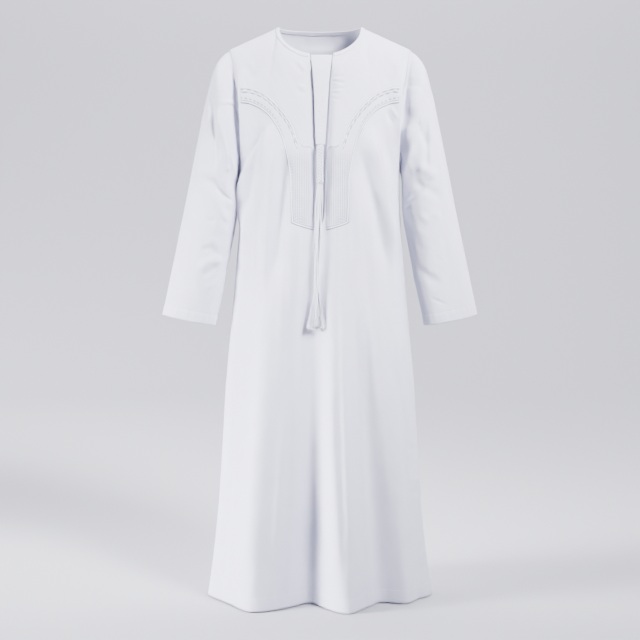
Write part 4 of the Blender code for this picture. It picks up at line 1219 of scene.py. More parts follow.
def running(path, ways, half=0.00042, lift=0.0001):
    """Running stitches along a path."""
    run = line_length(path)
    count = max(int(run[-1] / (STITCH + STITCH_GAP)), 1)
    starts = (np.arange(count) + 0.5) * run[-1] / count - STITCH / 2
    up = unit(at_distance(starts + STITCH / 2, run, ways))
    a = at_distance(starts, run, path) + up * lift
    b = at_distance(starts + STITCH, run, path) + up * lift
    return spindles(a, b, up, half)


def satin(path, ways, pitch, wide, high, threads=5, half=0.00042, lift=0.0003):
    """Satin bars along a path, each of some threads side by side, square to the path."""
    run = line_length(path)
    count = max(int(run[-1] / pitch), 1)
    middle = (np.arange(count) + 0.5) * run[-1] / count
    shift = (np.arange(threads) / (threads - 1) - 0.5) * wide
    at = (middle[:, None] + shift[None]).reshape(-1)
    centre, up = at_distance(at, run, path), unit(at_distance(at, run, ways))
    tangent = at_distance(at + 1e-4, run, path) - at_distance(at - 1e-4, run, path)
    across = unit(np.cross(up, tangent)) * high / 2
    centre = centre + up * lift
    return spindles(centre - across, centre + across, up, half)


points, faces = spindles(np.zeros((1, 3)), np.array([[0.003, 0, 0]]), np.array([[0, 0, 1.0]]), 4e-4)
print("one stitch:", len(points), "points,", len(faces), "triangles")

# %% Cords
LOBE_DEPTH = 0.2  # of the cord's radius


def tube(path, ways, half, sides=8, plies=0, pitch=0.006):
    """A closed tube along a path. Its section has `plies` lobes that turn once in `pitch`."""
    run = line_length(path)
    tangent = unit(np.gradient(path, axis=0))
    out = unit(ways - tangent * (ways * tangent).sum(axis=-1, keepdims=True))
    aside = np.cross(tangent, out)
    angle = np.arange(sides) * 2 * math.pi / sides
    radius = half * (1 + 0 * run[:, None] * angle)
    if plies:
        lobe = plies * (angle[None] - 2 * math.pi * run[:, None] / pitch)
        radius = half * (1 - LOBE_DEPTH / 2 + LOBE_DEPTH * np.cos(lobe))
    ring = out[:, None] * np.cos(angle)[None, :, None] + aside[:, None] * np.sin(angle)[
        None, :, None
    ]
    grid = path[:, None] + ring * radius[..., None]
    index = np.arange(grid[..., 0].size).reshape(grid.shape[:2])
    quads = grid_faces(index, wrap=True, flip=True)
    count = index.size
    first = [(count, index[0, i], index[0, (i + 1) % sides]) for i in range(sides)]
    last = [(count + 1, index[-1, (i + 1) % sides], index[-1, i]) for i in range(sides)]
    faces = np.concatenate([quads[:, [0, 1, 2]], quads[:, [0, 2, 3]], first, last])
    ends = np.stack([path[0] - tangent[0] * half * 0.5, path[-1] + tangent[-1] * half * 0.5])
    return np.concatenate([grid.reshape(-1, 3), ends]), faces


def even_path(path, ways, step):
    """A path and its ways read again at even steps."""
    run = line_length(path)
    at = np.linspace(0.0, run[-1], max(int(run[-1] / step), 2) + 1)
    return at_distance(at, run, path), unit(at_distance(at, run, ways))


def join(parts):
    """Several lots of points and faces as one."""
    starts = np.cumsum([0] + [len(points) for points, _ in parts[:-1]])
    faces = [faces + start for (_, faces), start in zip(parts, starts)]
    return np.concatenate([points for points, _ in parts]), np.concatenate(faces)

# %% [markdown]
# ## Neck binding
#
# A narrow strip of the same cloth is folded over the neck edge. Its section is cast down onto
# both panels at five places, closely enough to stay on them round the shoulder.

# %% Sizes of the binding
BINDING_WIDTH = 0.011
BINDING_WALL = 0.0007
BINDING_CLEAR = 0.0004
BINDING_STEPS = (60, 110, 60)  # left of the front, back, right of the front
BINDING_SHARES = (1.0, 0.8, 0.55, 0.3, 0.12)

# %% Where the binding lies
def on_panels(points):
    """The places on both panels below some points, and the ways that they face there."""
    graph = bpy.context.evaluated_depsgraph_get()
    trees = [BVHTree.FromObject(panel, graph) for panel in (front_piece, back_piece)]
    above, fall = Vector((0.0, 0.0, 0.1)), Vector((0.0, 0.0, -1.0))
    past_seam = Vector((0.0, 2 * SEAM, 0.0))
    found = []
    for point in points:
        starts = [Vector(point) + above + way * past_seam for way in (-1, 1)]
        hits = [tree.ray_cast(start, fall) for tree in trees for start in starts]
        found.append(min((hit for hit in hits if hit[0]), key=lambda hit: hit[3])[:2])
    places, ways = np.array(found).transpose(1, 0, 2)
    for _ in range(4):
        around = np.concatenate([ways[:1], ways, ways[-1:]])
        ways = unit(around[:-2] + 2 * around[1:-1] + around[2:])
    return places, ways


def neck_loop():
    """The neck edge, from one side of the opening round to the other, and its outward ways."""
    middle = front.shape[1] // 2
    reach = FRONT_COLUMNS // 2
    first = BACK_COLUMNS // 2
    left = slice(middle - 1, middle - 2 - reach, -1)
    right = slice(middle + reach, middle - 1, -1)
    behind = slice(first + 1, back.shape[1] - first - 1)
    edge = np.concatenate([front[0, left], back[0, behind], front[0, right]])
    inward = [panel_inward(front, -1)[0, left], panel_inward(back, 1)[0, behind]]
    inward = np.concatenate([*inward, panel_inward(front, -1)[0, right]])
    return edge, -unit(inward)


print("neck edge:", round(float(line_length(neck_loop()[0])[-1]), 3), "m round")

# %% Folded strip
def make_binding():
    """The strip, the line that its stitching takes, and the outward ways along that line."""
    edge, outward = neck_loop()
    run = line_length(edge)
    corners = np.flatnonzero(np.abs(edge[:, 0]) > NECK_HALF - 1e-6)
    stops = [0.0015, run[corners[0]], run[corners[-1]], run[-1] - 0.0015]
    at = [np.linspace(a, b, n + 1)[1:] for a, b, n in zip(stops, stops[1:], BINDING_STEPS)]
    at = np.concatenate([[stops[0]], *at])
    edge, outward = at_distance(at, run, edge), unit(at_distance(at, run, outward))
    for _ in range(3):
        outward = unit(outward + np.roll(outward, 1, axis=0) + np.roll(outward, -1, axis=0))
    tangent = np.gradient(edge, axis=0)
    aside = unit(tangent[:, [1, 0, 2]] * np.array([1.0, -1.0, 0.0]))
    aside *= np.sign((aside * edge).sum(axis=-1, keepdims=True))
    reach = aside * outward[:, 2:] * BINDING_WIDTH
    cast = [on_panels(edge + reach * share) for share in BINDING_SHARES]
    fall = unit(cast[2][0] - edge)

    def folded(clear, under_clear):
        """Sections over the edge: above the cloth, round its edge and back below it."""
        above = [place + way * clear for place, way in cast] + [edge + outward * clear]
        top = edge - fall * clear - outward * CLOTH / 2
        under = [edge - outward * under_clear]
        under += [place - way * under_clear for place, way in reversed(cast)]
        return np.stack(above + [top] + under)

    outer = folded(BINDING_CLEAR + BINDING_WALL, 0.0006 + CLOTH)
    inner = folded(BINDING_CLEAR, 0.0002 + CLOTH)
    index = np.arange(outer[..., 0].size).reshape(outer.shape[:2])
    piece = shell(
        "neck_binding_cloth", outer, grid_faces(index), inner - outer, metre_uv(outer)
    )
    line, way = cast[1]
    return piece, line + way * (BINDING_CLEAR + BINDING_WALL), way


binding_piece, binding_line, binding_way = make_binding()
print("stitching of the binding:", round(float(line_length(binding_line)[-1]), 3), "m")

# %% [markdown]
# ## Placket: strip behind, and tab in front
#
# The opening shows a strip of cloth that stands back behind its edges. A tapered tab hangs over
# it from the neckline, slightly crowned, and ends where the tassel starts.

# %% Strip behind the opening
UNDERLAY_HALF = 0.044
TAB_HALF_WALL = 0.0009


def make_underlay():
    """Strip at the front's plain depth, set back at its middle and under the dip beside it."""
    top = NECK_DROP + 0.014
    down = np.concatenate([np.linspace(top, 0.49, 110), [0.500, 0.512]])
    x, level, y, share = strip_grid(down, 0 * down - UNDERLAY_HALF, 0 * down + UNDERLAY_HALF, 30)
    level = level + (neck_dip(x) - NECK_DROP) * (1 - ease((level - top) / 0.05))
    y = front_depth(x, level)
    across = ease((1 - np.abs(2 * share - 1)) / 0.5)
    along = ease((level - top) / 0.06) * ease((0.50 - level) / 0.05)
    behind = 0.0034 + 0.0065 * across * along + placket_dip(x, level)
    behind = behind + 0.0006 * np.sin(x / 0.0042) * along + 0.5 * swell(x, level, 0.7)
    outer = np.stack([x, y + behind, -level], axis=-1)
    inward = unit(-np.gradient(outer, axis=1)[..., [1, 0, 2]] * np.array([1.0, -1.0, 0.0]))
    index = np.arange(x.size).reshape(x.shape)
    return shell(
        "placket_underlay_cloth", outer, grid_faces(index), inward * CLOTH, metre_uv(outer)
    )


underlay_piece = make_underlay()
print(underlay_piece.name, len(underlay_piece.data.polygons) * 2, "triangles")

# %% Tapered tab
TAB = table(
    "down left right",
    (0.0710, -0.0236, 0.0298),
    (0.1200, -0.0180, 0.0242),
    (0.1780, -0.0142, 0.0196),
    (0.2300, -0.0128, 0.0164),
    (0.2600, -0.0118, 0.0146),
    (0.2900, -0.0102, 0.0126),
)
TAB_ROWS = 150
TAB_COLUMNS = 16
TAB_SEAM = 0.188


def tab_grid():
    """Outside of the tab, with a seam across it and a soft crown."""
    down = np.linspace(TAB["down"][0], TAB["down"][-1], TAB_ROWS)
    left = smooth(down, TAB["down"], TAB["left"])
    right = smooth(down, TAB["down"], TAB["right"])
    x, level, y, share = strip_grid(down, left, right, TAB_COLUMNS)
    crown = 0.0015 * (1 - (2 * share - 1) ** 2) ** 0.5
    seam = 0.0009 * np.exp(-(((level - TAB_SEAM) / 0.0011) ** 2))
    sunk = 0.0004 * np.exp(-(((np.abs(2 * share - 1) - 0.80) / 0.07) ** 2))
    ripple = 0.0003 * np.sin(level / 0.0061 + 40 * x) + 0.4 * swell(x, level, 2.2)
    y = y - 0.0008 - crown + seam + sunk + ripple
    return np.stack([x, y, -level], axis=-1)


def make_tab(outer):
    """The tab, with a wall straight back from its outside."""
    index = np.arange(outer[..., 0].size).reshape(outer.shape[:2])
    inward = np.array([0.0, 2 * TAB_HALF_WALL, 0.0]) + 0 * outer
    return shell("placket_tab_cloth", outer, grid_faces(index), inward, metre_uv(outer))


tab = tab_grid()
tab_piece = make_tab(tab)
print("tab:", round(float(TAB["down"][-1] - TAB["down"][0]), 3), "m long")

# %% [markdown]
# ## Chest bands
#
# Each band is a strip laid on the front panel from the armhole to the foot of the opening. Its
# grid is cast onto the folded cloth, and all its embroidery is placed on that grid: a twisted
# cord along each edge, satin blocks and stitched lines on the curve, and upright stitched
# columns on the straight part. The grooves beside them are stored as a relief, which raises the
# ground and also mixes painted shade into its colour in the grooves.

# %% Shape of a band
BAND = table(
    "x_inner down_inner x_outer down_outer",
    (0.1960, 0.1490, 0.1960, 0.1890),
    (0.1760, 0.1500, 0.1720, 0.1925),
    (0.1430, 0.1620, 0.1400, 0.2080),
    (0.1110, 0.1870, 0.1160, 0.2330),
    (0.0840, 0.2170, 0.0970, 0.2670),
    (0.0660, 0.2480, 0.0850, 0.3050),
    (0.0540, 0.2830, 0.0775, 0.3450),
    (0.0400, 0.2950, 0.0735, 0.3750),
    (0.0190, 0.3010, 0.0730, 0.4050),
    (0.0172, 0.3600, 0.0722, 0.4350),
    (0.0162, 0.4300, 0.0716, 0.4740),
    (0.0158, 0.4480, 0.0700, 0.4832),
    (0.0154, 0.4650, 0.0440, 0.4930),
    (0.0150, 0.4740, 0.0170, 0.5010),
)
BAND_ROWS = 240
BAND_COLUMNS = 34
LINE_STEP = 0.001  # between the points of a line of thread
BLOCK_PITCH = 0.0195  # of the satin blocks on the curve
COLUMN_PITCH = 0.0055  # of the upright lines
FRONT_TREE = BVHTree.FromObject(front_piece, bpy.context.evaluated_depsgraph_get())


def on_front(x, down):
    """Places on the folded front at some places across and down, and softened outward ways."""
    ahead = Vector((0.0, 1.0, 0.0))
    places, ways = np.empty(x.shape + (3,)), np.empty(x.shape + (3,))
    for place in np.ndindex(x.shape):
        hit, normal, _, _ = FRONT_TREE.ray_cast(Vector((x[place], -0.3, -down[place])), ahead)
        if hit is None:
            hit, normal, _, _ = FRONT_TREE.find_nearest(Vector((x[place], -0.07, -down[place])))
        places[place], ways[place] = hit, normal
    for _ in range(3):
        wide = np.pad(ways, ((1, 1), (1, 1), (0, 0)), mode="edge")
        ways = unit(wide[:-2, 1:-1] + wide[2:, 1:-1] + wide[1:-1, :-2] + wide[1:-1, 2:])
    return places, ways

# %% Places under the bands
def band_grid(side):
    """Places on the cloth under a band, their outward ways, and the band's width at each row."""
    rows = np.arange(len(BAND["x_inner"]), dtype=float)
    at = np.linspace(0.0, rows[-1], BAND_ROWS)
    edges = {key: smooth(at, rows, values) for key, values in BAND.items()}
    share = np.linspace(0.0, 1.0, BAND_COLUMNS + 1)[None, :]
    x = side * (edges["x_inner"][:, None] + (edges["x_outer"] - edges["x_inner"])[:, None] * share)
    down = edges["down_inner"][:, None]
    down = down + (edges["down_outer"] - edges["down_inner"])[:, None] * share
    places, ways = on_front(x, down)
    return places, ways, np.linalg.norm(places[:, -1] - places[:, 0], axis=-1)


def column_line(side, x, lift):
    """An upright line on the straight part of a band, x metres from the middle."""
    down = np.linspace(0.309, 0.470, 90)[:, None]
    places, ways = on_front(side * x + 0 * down, down)
    return even_path(places[:, 0] + ways[:, 0] * lift, ways[:, 0], LINE_STEP)


def band_line(band, offset, last=None, outer=False, lift=0.0009):
    """The line at an offset from a band's inner or outer edge, down to a row of its table."""
    places, ways, width = band
    last = len(BAND["x_inner"]) - 1.0 if last is None else last
    row = np.linspace(0.0, last, 400) / (len(BAND["x_inner"]) - 1) * (BAND_ROWS - 1)
    share = offset / np.interp(row, np.arange(BAND_ROWS), width)
    column = (1 - share if outer else share) * BAND_COLUMNS
    way = unit(read_grid(ways, row, column))
    return even_path(read_grid(places, row, column) + way * lift, way, LINE_STEP)


bands = {side: band_grid(side) for side in (-1, 1)}
print("longest row of a band:", round(1000 * float(bands[1][2].max())), "mm")

# %% Grooves of the ground
def rib(offset, at, half):
    """A rounded rib or, with a minus sign before it, a groove along a line."""
    return np.exp(-(((offset - at) / half) ** 2))


def dashes(run, pitch, start):
    """1 on dashes and 0 between them, along a line."""
    return ease((np.cos(2 * math.pi * (run / pitch + start)) + 0.35) / 0.5)


def band_relief_and_shade(band):
    """Ground of a band, 1 where it is full and 0 in its grooves: a groove outside each cord and
    dashed ones beside it on the curve, upright ones and cross puckers on the straight part.
    The same values mix painted shade into the ground's colour in the grooves."""
    places, _, width = band
    share = np.linspace(0.0, 1.0, BAND_COLUMNS + 1)[None, :]
    inner, outer = share * width[:, None], (1 - share) * width[:, None]
    x, down = np.abs(places[..., 0]), -places[..., 2]
    run = line_length(places[:, BAND_COLUMNS // 4])[:, None]
    straight = ease((down - 0.292) / 0.050)
    row = np.linspace(0.0, len(BAND["x_inner"]) - 1.0, BAND_ROWS)[:, None]
    curve, arm = 1 - ease((row - 5.9) / 0.6), 1 - ease((down - 0.235) / 0.03)
    # along the outer edge, then two dashed lines along the inner one
    relief_and_shade = 1 - 1.00 * rib(outer, 0.0010, 0.0019) - 0.75 * rib(outer, 0.0074, 0.0014)
    relief_and_shade = relief_and_shade - 0.90 * arm * dashes(run, 0.0110, 0.0) * rib(outer, 0.0132, 0.0017)
    first, second = dashes(run, BLOCK_PITCH, 0.0), dashes(run, BLOCK_PITCH, 0.5)
    relief_and_shade = relief_and_shade - curve * (0.45 + 0.55 * first) * rib(inner, 0.0059, 0.0018)
    relief_and_shade = relief_and_shade - curve * (0.35 + 0.65 * second) * rib(inner, 0.0136, 0.0018)
    # the straight part, inside its edge cord
    within = straight * ease((outer - 0.0070) / 0.0015)
    columns = 0.5 + 0.5 * np.cos(2 * math.pi * (x - 0.0225) / COLUMN_PITCH)
    puckers = 0.5 + 0.5 * np.sin(2 * math.pi * down / 0.0074 + 2.6 * np.sin(x / 0.0065))
    uneven = 0.6 + 0.4 * np.sin(x / 0.0081 + down / 0.013) * np.sin(down / 0.021 + 1.0)
    relief_and_shade = relief_and_shade - within * (0.36 * columns + 0.28 * puckers * uneven * ease((x - 0.026) / 0.02))
    return np.clip(relief_and_shade, 0.0, 1.0)


def set_painted_shade(piece, relief_and_shade):
    """Stores a value for each point, which mixes in the painted shade colour where it is low."""
    layer = piece.data.attributes.new("relief_and_shade", "FLOAT", "POINT")
    layer.data.foreach_set("value", relief_and_shade.astype(np.float32))

# %% Band and its thread
def make_band(name, side, band):
    """A band's ground: the places on the cloth, raised along their ways by the relief."""
    places, ways, _ = band
    share = np.linspace(0.0, 1.0, BAND_COLUMNS + 1)[None, :]
    relief_and_shade = band_relief_and_shade(band) * ease(np.minimum(share, 1 - share) / 0.03)
    raised = (0.0003 + 0.0011 * relief_and_shade)[..., None]
    outer = places + ways * raised
    index = np.arange(outer[..., 0].size).reshape(outer.shape[:2])
    faces = grid_faces(index, flip=side < 0)
    piece = shell(name, outer, faces, -ways * raised, metre_uv(outer), GROUND)
    # the same relief darkens the ground's colour in its grooves: painted shade
    set_painted_shade(piece, np.tile(relief_and_shade.reshape(-1), 2))
    return piece


def band_thread(band, side):
    """Embroidery of one band: a cord along each edge, blocks and stitched lines on the curve,
    and upright stitched lines on the straight part."""
    cords = [
        tube(*band_line(band, 0.0026, last=6.5), 0.0016, plies=2),
        tube(*band_line(band, 0.0040, outer=True, last=12.6), 0.0015, plies=2),
    ]
    line = band_line(band, 0.0096, last=6.4)
    sewn = [satin(*line, BLOCK_PITCH, 0.0085, 0.0048, threads=9, half=0.0006, lift=0.0009)]
    for offset in (0.0164, 0.0204):
        sewn.append(running(*band_line(band, offset, last=6.5, lift=0.0012), half=0.0006))
    sewn.append(running(*band_line(band, 0.0098, outer=True, lift=0.0012), half=0.0006))
    for number in range(8):
        line = column_line(side, 0.02525 + COLUMN_PITCH * number, lift=0.0011)
        sewn.append(running(*line, half=0.0005))
    return join(cords + sewn)

# %% Both bands
band_pieces, floss_pieces = {}, {}
for side, word in ((-1, "left"), (1, "right")):
    band_pieces[side] = make_band(f"chest_band_{word}_cloth", side, bands[side])
    points, faces = band_thread(bands[side], side)
    floss_pieces[side] = add_piece(f"band_embroidery_{word}", points, faces, FLOSS)
    print(f"band {word}:", len(faces), "triangles of embroidery")

# %% [markdown]
# ## Sewing
#
# Topstitching runs beside the armholes, round the neck, down both edges of the placket, round
# the hem and cuffs, and beside the vents and side seams.

# %% Seams of the robe
ARMHOLE_STITCHING = 0.0042  # in from the edge, as the others are
VENT_STITCHING = 0.0030
PLACKET_STITCHING = (0.0016, 0.0100)


def both_ends(grid, ways):
    """A panel's grid read from its left edge and from its right edge."""
    return (grid, ways), (grid[:, ::-1], ways[:, ::-1])


def seam_lines():
    """Lines of stitching on the body and the sleeves, with their outward ways."""
    foot, middle = ROWS_ABOVE + ROWS_OPENING, front.shape[1] // 2
    lines = [(binding_line, binding_way)]
    for grid, ways in ((front, front_out), (back, back_out)):
        upper, vent = slice(2, ROWS_ABOVE - 2), slice(ROWS_ABOVE + 4, None)
        for edge, out in both_ends(grid, ways):
            lines.append(inset_line(edge[upper], out[upper], ARMHOLE_STITCHING))
            lines.append(inset_line(edge[vent], out[vent], VENT_STITCHING))
        turned = slice(None, None, -1)
        hem, hem_out = grid[turned].transpose(1, 0, 2), ways[turned].transpose(1, 0, 2)
        lines.append(inset_line(hem[2:-2], hem_out[2:-2], HEM_STITCHING))
    for side in (-1, 1):
        cuff = sleeves[side][::-1].transpose(1, 0, 2)
        out = sleeve_out[side][::-1].transpose(1, 0, 2)
        path, way = inset_line(cuff, out, CUFF_STITCHING)
        lines.append((np.concatenate([path, path[:1]]), np.concatenate([way, way[:1]])))
    left = front[6:foot, :middle][:, ::-1], front_out[6:foot, :middle][:, ::-1]
    right = front[6:foot, middle:], front_out[6:foot, middle:]
    for grid, ways in (left, right):
        for distance in PLACKET_STITCHING:
            lines.append(inset_line(grid[:-4], ways[:-4], distance))
    return lines


print("lines of stitching:", len(seam_lines()))

# %% Stitching of the tab
TAB_STITCHING = 0.0022
TAB_OUT = np.array([0.0, -1.0, 0.0])


def tab_row(down):
    """The row of the tab's grid at a depth."""
    return (down - TAB["down"][0]) / (TAB["down"][-1] - TAB["down"][0]) * (TAB_ROWS - 1)


def tab_lines():
    """Stitching inside both edges of the tab, and its cross seam."""
    out = TAB_OUT + 0 * tab
    lines = [inset_line(tab[2:-8], out[2:-8], TAB_STITCHING)]
    lines.append(inset_line(tab[2:-8, ::-1], out[2:-8, ::-1], TAB_STITCHING))
    for down in (0.1858, 0.1906):
        column = np.linspace(1.0, TAB_COLUMNS - 1.0, TAB_COLUMNS + 1)
        path = read_grid(tab, tab_row(down) + 0 * column, column)
        lines.append((path, TAB_OUT + 0 * path))
    return lines


def tab_bars():
    """Small bars down the lower part of the tab."""
    row = tab_row(np.linspace(0.205, 0.262, 60))
    path = read_grid(tab, row, 0 * row + TAB_COLUMNS / 2)
    return satin(path, TAB_OUT + 0 * path, pitch=0.0078, wide=0.0024, high=0.0105, threads=4)

# %% All the sewing
sewing = join([running(*line) for line in seam_lines() + tab_lines()])
sewing_piece = add_piece("seam_stitching", *sewing, SEWING)
tab_floss = add_piece("tab_embroidery", *tab_bars(), FLOSS)
print("sewing:", len(sewing[1]), "triangles")

# %% [markdown]
# ## Tassel
#
# The head is a core wrapped in a herringbone of thread: a turned form whose radius follows
# $r(\theta,z)=R\,(1+a\,|\sin(\pi z/p+k\,\tau(\theta))|)$, where $\tau$ is a triangle wave round
# the core. Below it, 220 strands fall in eleven locks, one of them inside. Each strand keeps
# its place in its lock and hangs just off the cloth, and every lock wanders on its own, because
# combed, even strands would look like a brush.

# %% Sizes of the tassel
HEAD_RADIUS = 0.0086
HEAD_TOP = 0.2885
HEAD_FOOT = 0.3850 + 0.0008  # the solid's foot and a hair
HEAD_ROWS = 210
HEAD_SIDES = 60
WRAP_PITCH = 0.0074  # of the herringbone
HEAD = table(
    "down girth",
    (0.2903, 0.72),
    (0.2970, 1.00),
    (0.3080, 0.98),
    (0.3400, 0.96),
    (0.3720, 0.98),
    (0.3810, 1.06),
)
STRANDS = table(
    "down x ahead half_across half_deep",
    (0.3780, 0.0000, 0.0000, 0.0054, 0.0054),
    (0.3880, -0.0002, 0.0000, 0.0064, 0.0062),
    (0.4100, -0.0010, 0.0010, 0.0086, 0.0070),
    (0.4400, -0.0025, 0.0030, 0.0096, 0.0074),
    (0.5250, -0.0055, 0.0020, 0.0092, 0.0074),
    (0.6300, -0.0085, 0.0020, 0.0078, 0.0068),
    (0.6640, -0.0090, 0.0020, 0.0080, 0.0070),
    (0.6950, -0.0095, 0.0020, 0.0130, 0.0080),
    (0.7200, -0.0095, 0.0020, 0.0182, 0.0090),
    (0.7440, -0.0095, 0.0020, 0.0238, 0.0105),
)
STRAND_COUNT = 220
STRAND_RADIUS = 0.00050
STRANDS_FROM = 0.3790  # inside the head's foot
LOCKS = 11
GOLDEN_ANGLE = 2.39996  # spreads the strands evenly over a round section
HEAD_PLACE = 0.0, -0.1187
HEAD_HANGS = 0.3950  # above this the strands follow the head, and below it the cloth


def strand_places():
    """The y of the strands' middle down the table: under the head, then just off the cloth."""
    x, down = STRANDS["x"][:, None], STRANDS["down"][:, None]
    cloth = on_front(x, down)[0][:, 0, 1] - STRANDS["half_deep"] - 0.0022 - STRANDS["ahead"]
    share = ease((STRANDS["down"] - HEAD_HANGS) / 0.06)
    return HEAD_PLACE[1] + (np.minimum(cloth, HEAD_PLACE[1] + 0.02) - HEAD_PLACE[1]) * share


STRANDS["y"] = strand_places()


print("strands:", STRAND_COUNT, "in", LOCKS, "locks")

# %% Wrapped head
def tassel_head():
    """Wrapped head: rounded at both ends, with a herringbone of thread between."""
    down = np.linspace(HEAD_TOP, HEAD_FOOT, HEAD_ROWS)[:, None]
    turn = (np.arange(HEAD_SIDES) * 2 * math.pi / HEAD_SIDES)[None, :]
    triangle = np.abs((turn * 5 / math.pi) % 2 - 1)
    wraps = np.abs(np.sin(math.pi * (down / WRAP_PITCH + 1.1 * triangle)))
    ends = ease((down - HEAD_TOP) / 0.0045) * ease((HEAD_FOOT - down) / 0.0030)
    girth = smooth(down, HEAD["down"], HEAD["girth"]) + 0.05 * np.exp(-(((down - 0.2960) / 0.0020) ** 2))
    radius = HEAD_RADIUS * (girth * (0.74 + 0.26 * wraps)) * (0.25 + 0.75 * ends**0.5)
    x = HEAD_PLACE[0] + radius * np.cos(turn)
    y = HEAD_PLACE[1] + radius * np.sin(turn)
    grid = np.stack([x, y, -down + 0 * x], axis=-1)
    index = np.arange(x.size).reshape(x.shape)
    quads = grid_faces(index, wrap=True)
    middle = grid[[0, -1]].mean(axis=1)
    sides = index.shape[1]
    top = [(x.size, index[0, i], index[0, (i + 1) % sides]) for i in range(sides)]
    foot = [(x.size + 1, index[-1, (i + 1) % sides], index[-1, i]) for i in range(sides)]
    faces = np.concatenate([quads[:, [0, 1, 2]], quads[:, [0, 2, 3]], top, foot])
    # painted shade: the herringbone's grooves take a darker colour, following its wraps
    relief_and_shade = np.concatenate([np.minimum(1.25 * wraps, ends).reshape(-1), [0.0, 0.0]])
    return np.concatenate([grid.reshape(-1, 3), middle]), faces, relief_and_shade

# %% Strands
def strand(number, rng):
    """One strand, as a four-sided tube down the table. Its place in the round section follows
    from its number, it is drawn towards its lock's middle, and it frays out at the foot."""
    radius = math.sqrt((number + 0.5) / STRAND_COUNT)
    angle = GOLDEN_ANGLE * number
    place = radius * np.array([math.cos(angle), math.sin(angle)])
    lock = int((math.degrees(math.atan2(place[1], place[0])) % 360) / 360 * (LOCKS - 1)) + 1
    lock = 0 if radius < 0.42 else lock
    middle = (lock - 0.5) / (LOCKS - 1) * 2 * math.pi
    centre = np.array([math.cos(middle), math.sin(middle)]) * (0.72 if lock else 0.0)
    tip = 0.742 + 0.004 * math.sin(2.1 * lock + 0.4) + rng.normal(0.0, 0.0025)
    down = np.linspace(STRANDS_FROM, tip, 30)
    row = {key: smooth(down, STRANDS["down"], STRANDS[key]) for key in STRANDS}
    drawn = 0.62 * ease((down - 0.39) / 0.05) - 0.44 * ease((down - 0.66) / 0.05)
    across = place[0] + (centre[0] - place[0]) * drawn
    deep = place[1] + (centre[1] - place[1]) * drawn
    loose = ease((down - 0.395) / 0.06)
    wander = 0.0012 * np.sin(down / 0.043 + 2.3 * lock) + 0.0005 * np.sin(down / 0.019 + 4.1 * lock)
    own = 0.0005 * np.sin(down / (0.012 + 0.006 * rng.random()) + 6.3 * rng.random())
    frayed = rng.normal(0.0, 0.0022, 2)[:, None] * ease((down - 0.69) / 0.05)
    x = row["x"] + row["half_across"] * across + loose * (wander + own) + frayed[0]
    y = row["y"] + row["half_deep"] * deep + loose * (0.6 * wander - own) + frayed[1]
    path = np.stack([x, y, -down], axis=-1)
    ways = np.array([math.cos(angle), math.sin(angle), 0.0]) + 0 * path
    return tube(path, ways, STRAND_RADIUS, sides=4)


def make_tassel():
    """Head and strands as one mesh, and its painted shade value: lower, so darker, on the strands
    inside.
    """
    rng = np.random.default_rng(7)
    *head, relief_and_shade = tassel_head()
    strands = [strand(number, rng) for number in range(STRAND_COUNT)]
    for number, (points, _) in enumerate(strands):
        outward = math.sqrt((number + 0.5) / STRAND_COUNT)
        # painted shade: the inner strands take a darker colour, as if in the tassel's own shadow
        relief_and_shade = np.append(relief_and_shade, np.full(len(points), 0.45 + 0.55 * ease((outward - 0.35) / 0.3)))
    return *join([head] + strands), relief_and_shade


points, faces, relief_and_shade = make_tassel()
tassel_piece = add_piece("tassel_strands", points, faces, SILKY)
set_painted_shade(tassel_piece, relief_and_shade)
print("tassel:", len(faces), "triangles")

# %% [markdown]
# ## Riding and replacing
#
# Nothing on a robe turns on a joint, so every piece rides the one body. Each shell stands for
# its solid.

# %% Riding and replacing
def keep(piece, slot, *nodes):
    """The piece rides the robe's body and stands for its solids. Its slot is not used."""
    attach(piece, "root")
    if nodes:
        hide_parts(*nodes)
    return piece


keep(front_piece, "cotton", "front_panel")
keep(back_piece, "cotton", "back_panel")
keep(sleeve_pieces[-1], "cotton", "sleeve_left")
keep(sleeve_pieces[1], "cotton", "sleeve_right")
keep(binding_piece, "cotton", "neck_binding")
keep(underlay_piece, "cotton", "placket_underlay")
keep(tab_piece, "cotton", "placket_tab")
for side, word in ((-1, "left"), (1, "right")):
    keep(band_pieces[side], "cotton", f"chest_band_{word}")
    keep(floss_pieces[side], "embroidery")
keep(tab_floss, "embroidery")
keep(sewing_piece, "thread")
keep(tassel_piece, "thread", "tassel")

# %% [markdown]
# ## Studio
#
# A pale floor runs into a curved backdrop. A key light stands high on the right and is narrowed
# to the chest. A low one on the left is narrowed to the skirt, where it rakes across the long
# folds. Two weak side lights draw the outlines, and one above keeps the backdrop even.

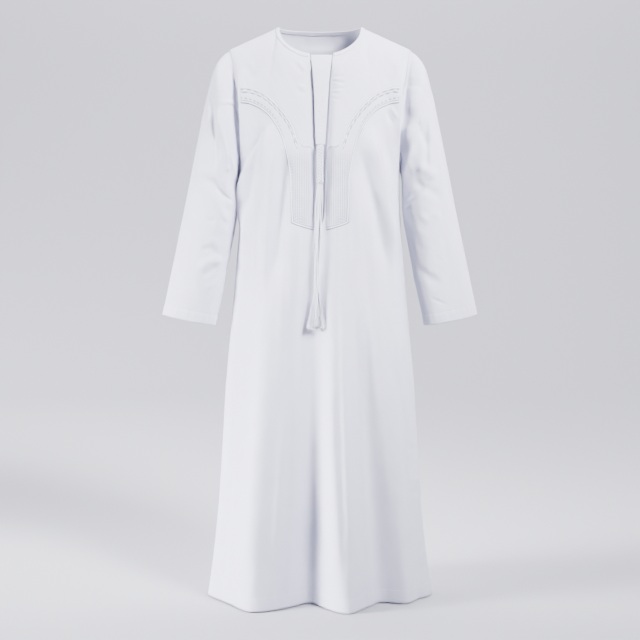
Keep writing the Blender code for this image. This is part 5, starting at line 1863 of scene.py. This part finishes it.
# %% Floor and backdrop
def cyclorama():
    """Floor and backdrop in one sweep: level, a quarter circle, then upright."""
    reach, back_at, radius, floor = 9.0, 3.2, 1.6, -LENGTH - 0.0035
    turn = np.linspace(0.0, math.pi / 2, 25)
    y = np.concatenate([[-9.0], back_at + radius * np.sin(turn), [back_at + radius]])
    z = np.concatenate([[floor], floor + radius * (1 - np.cos(turn)), [7.0]])
    x = np.array([-reach, reach])
    grid = np.stack(np.broadcast_arrays(x[None, :], y[:, None], z[:, None]), axis=-1)
    material, tree, output = new_material("paper_backdrop")
    shader = add_node(tree, "ShaderNodeBsdfPrincipled", (300, 0), Roughness=0.95)
    shader.inputs["Base Color"].default_value = to_linear("#cacad2")
    tree.links.new(shader.outputs["BSDF"], output.inputs["Surface"])
    index = np.arange(grid[..., 0].size).reshape(grid.shape[:2])
    return add_piece("studio_floor", grid.reshape(-1, 3), grid_faces(index, flip=True), material)

# %% Lights
def area_light(name, place, target, size, power, spread=180.0):
    """A slightly blue rectangular light at a place, turned to its target."""
    light = bpy.data.lights.new(name, "AREA")
    light.color = (0.96, 0.96, 1.0)
    light.shape, light.size, light.size_y, light.energy = "RECTANGLE", size[0], size[1], power
    light.spread = math.radians(spread)
    lamp = bpy.data.objects.new(name, light)
    lamp.location = place
    lamp.rotation_euler = (Vector(target) - Vector(place)).to_track_quat("-Z", "Y").to_euler()
    bpy.context.scene.collection.objects.link(lamp)
    return lamp


cyclorama()
area_light("key_right", (2.4, -2.9, 2.0), (0.0, 0.0, -0.15), (1.4, 1.4), 56.0, spread=36.0)
area_light("low_left", (-3.5, -1.1, -0.4), (0.0, 0.0, -1.15), (1.7, 1.7), 60.0, spread=36.0)
area_light("side_right", (3.5, -0.7, 0.4), (0.0, 0.0, -0.6), (0.9, 1.4), 66.0)
area_light("side_left", (-3.1, -0.6, 1.9), (0.0, 0.0, -0.4), (0.9, 1.4), 44.0)
area_light("backdrop_wash", (0.0, 1.0, 3.6), (0.0, 4.8, 0.2), (4.0, 1.2), 700.0)

# %% Air and camera
world = bpy.data.worlds.new("studio_air")
world.use_nodes = True
world.node_tree.nodes["Background"].inputs["Color"].default_value = to_linear("#e4e4ea")
world.node_tree.nodes["Background"].inputs["Strength"].default_value = 0.06
bpy.context.scene.world = world

camera = bpy.data.objects.new("camera", bpy.data.cameras.new("camera"))
camera.data.lens, camera.data.sensor_width = 93.12, 36.0
camera.location = (0.0, -4.2, -0.25)
camera.rotation_euler = (math.radians(90 - 6.614), 0.0, 0.0)
bpy.context.scene.collection.objects.link(camera)
bpy.context.scene.camera = camera
print("camera at", tuple(round(c, 2) for c in camera.location))
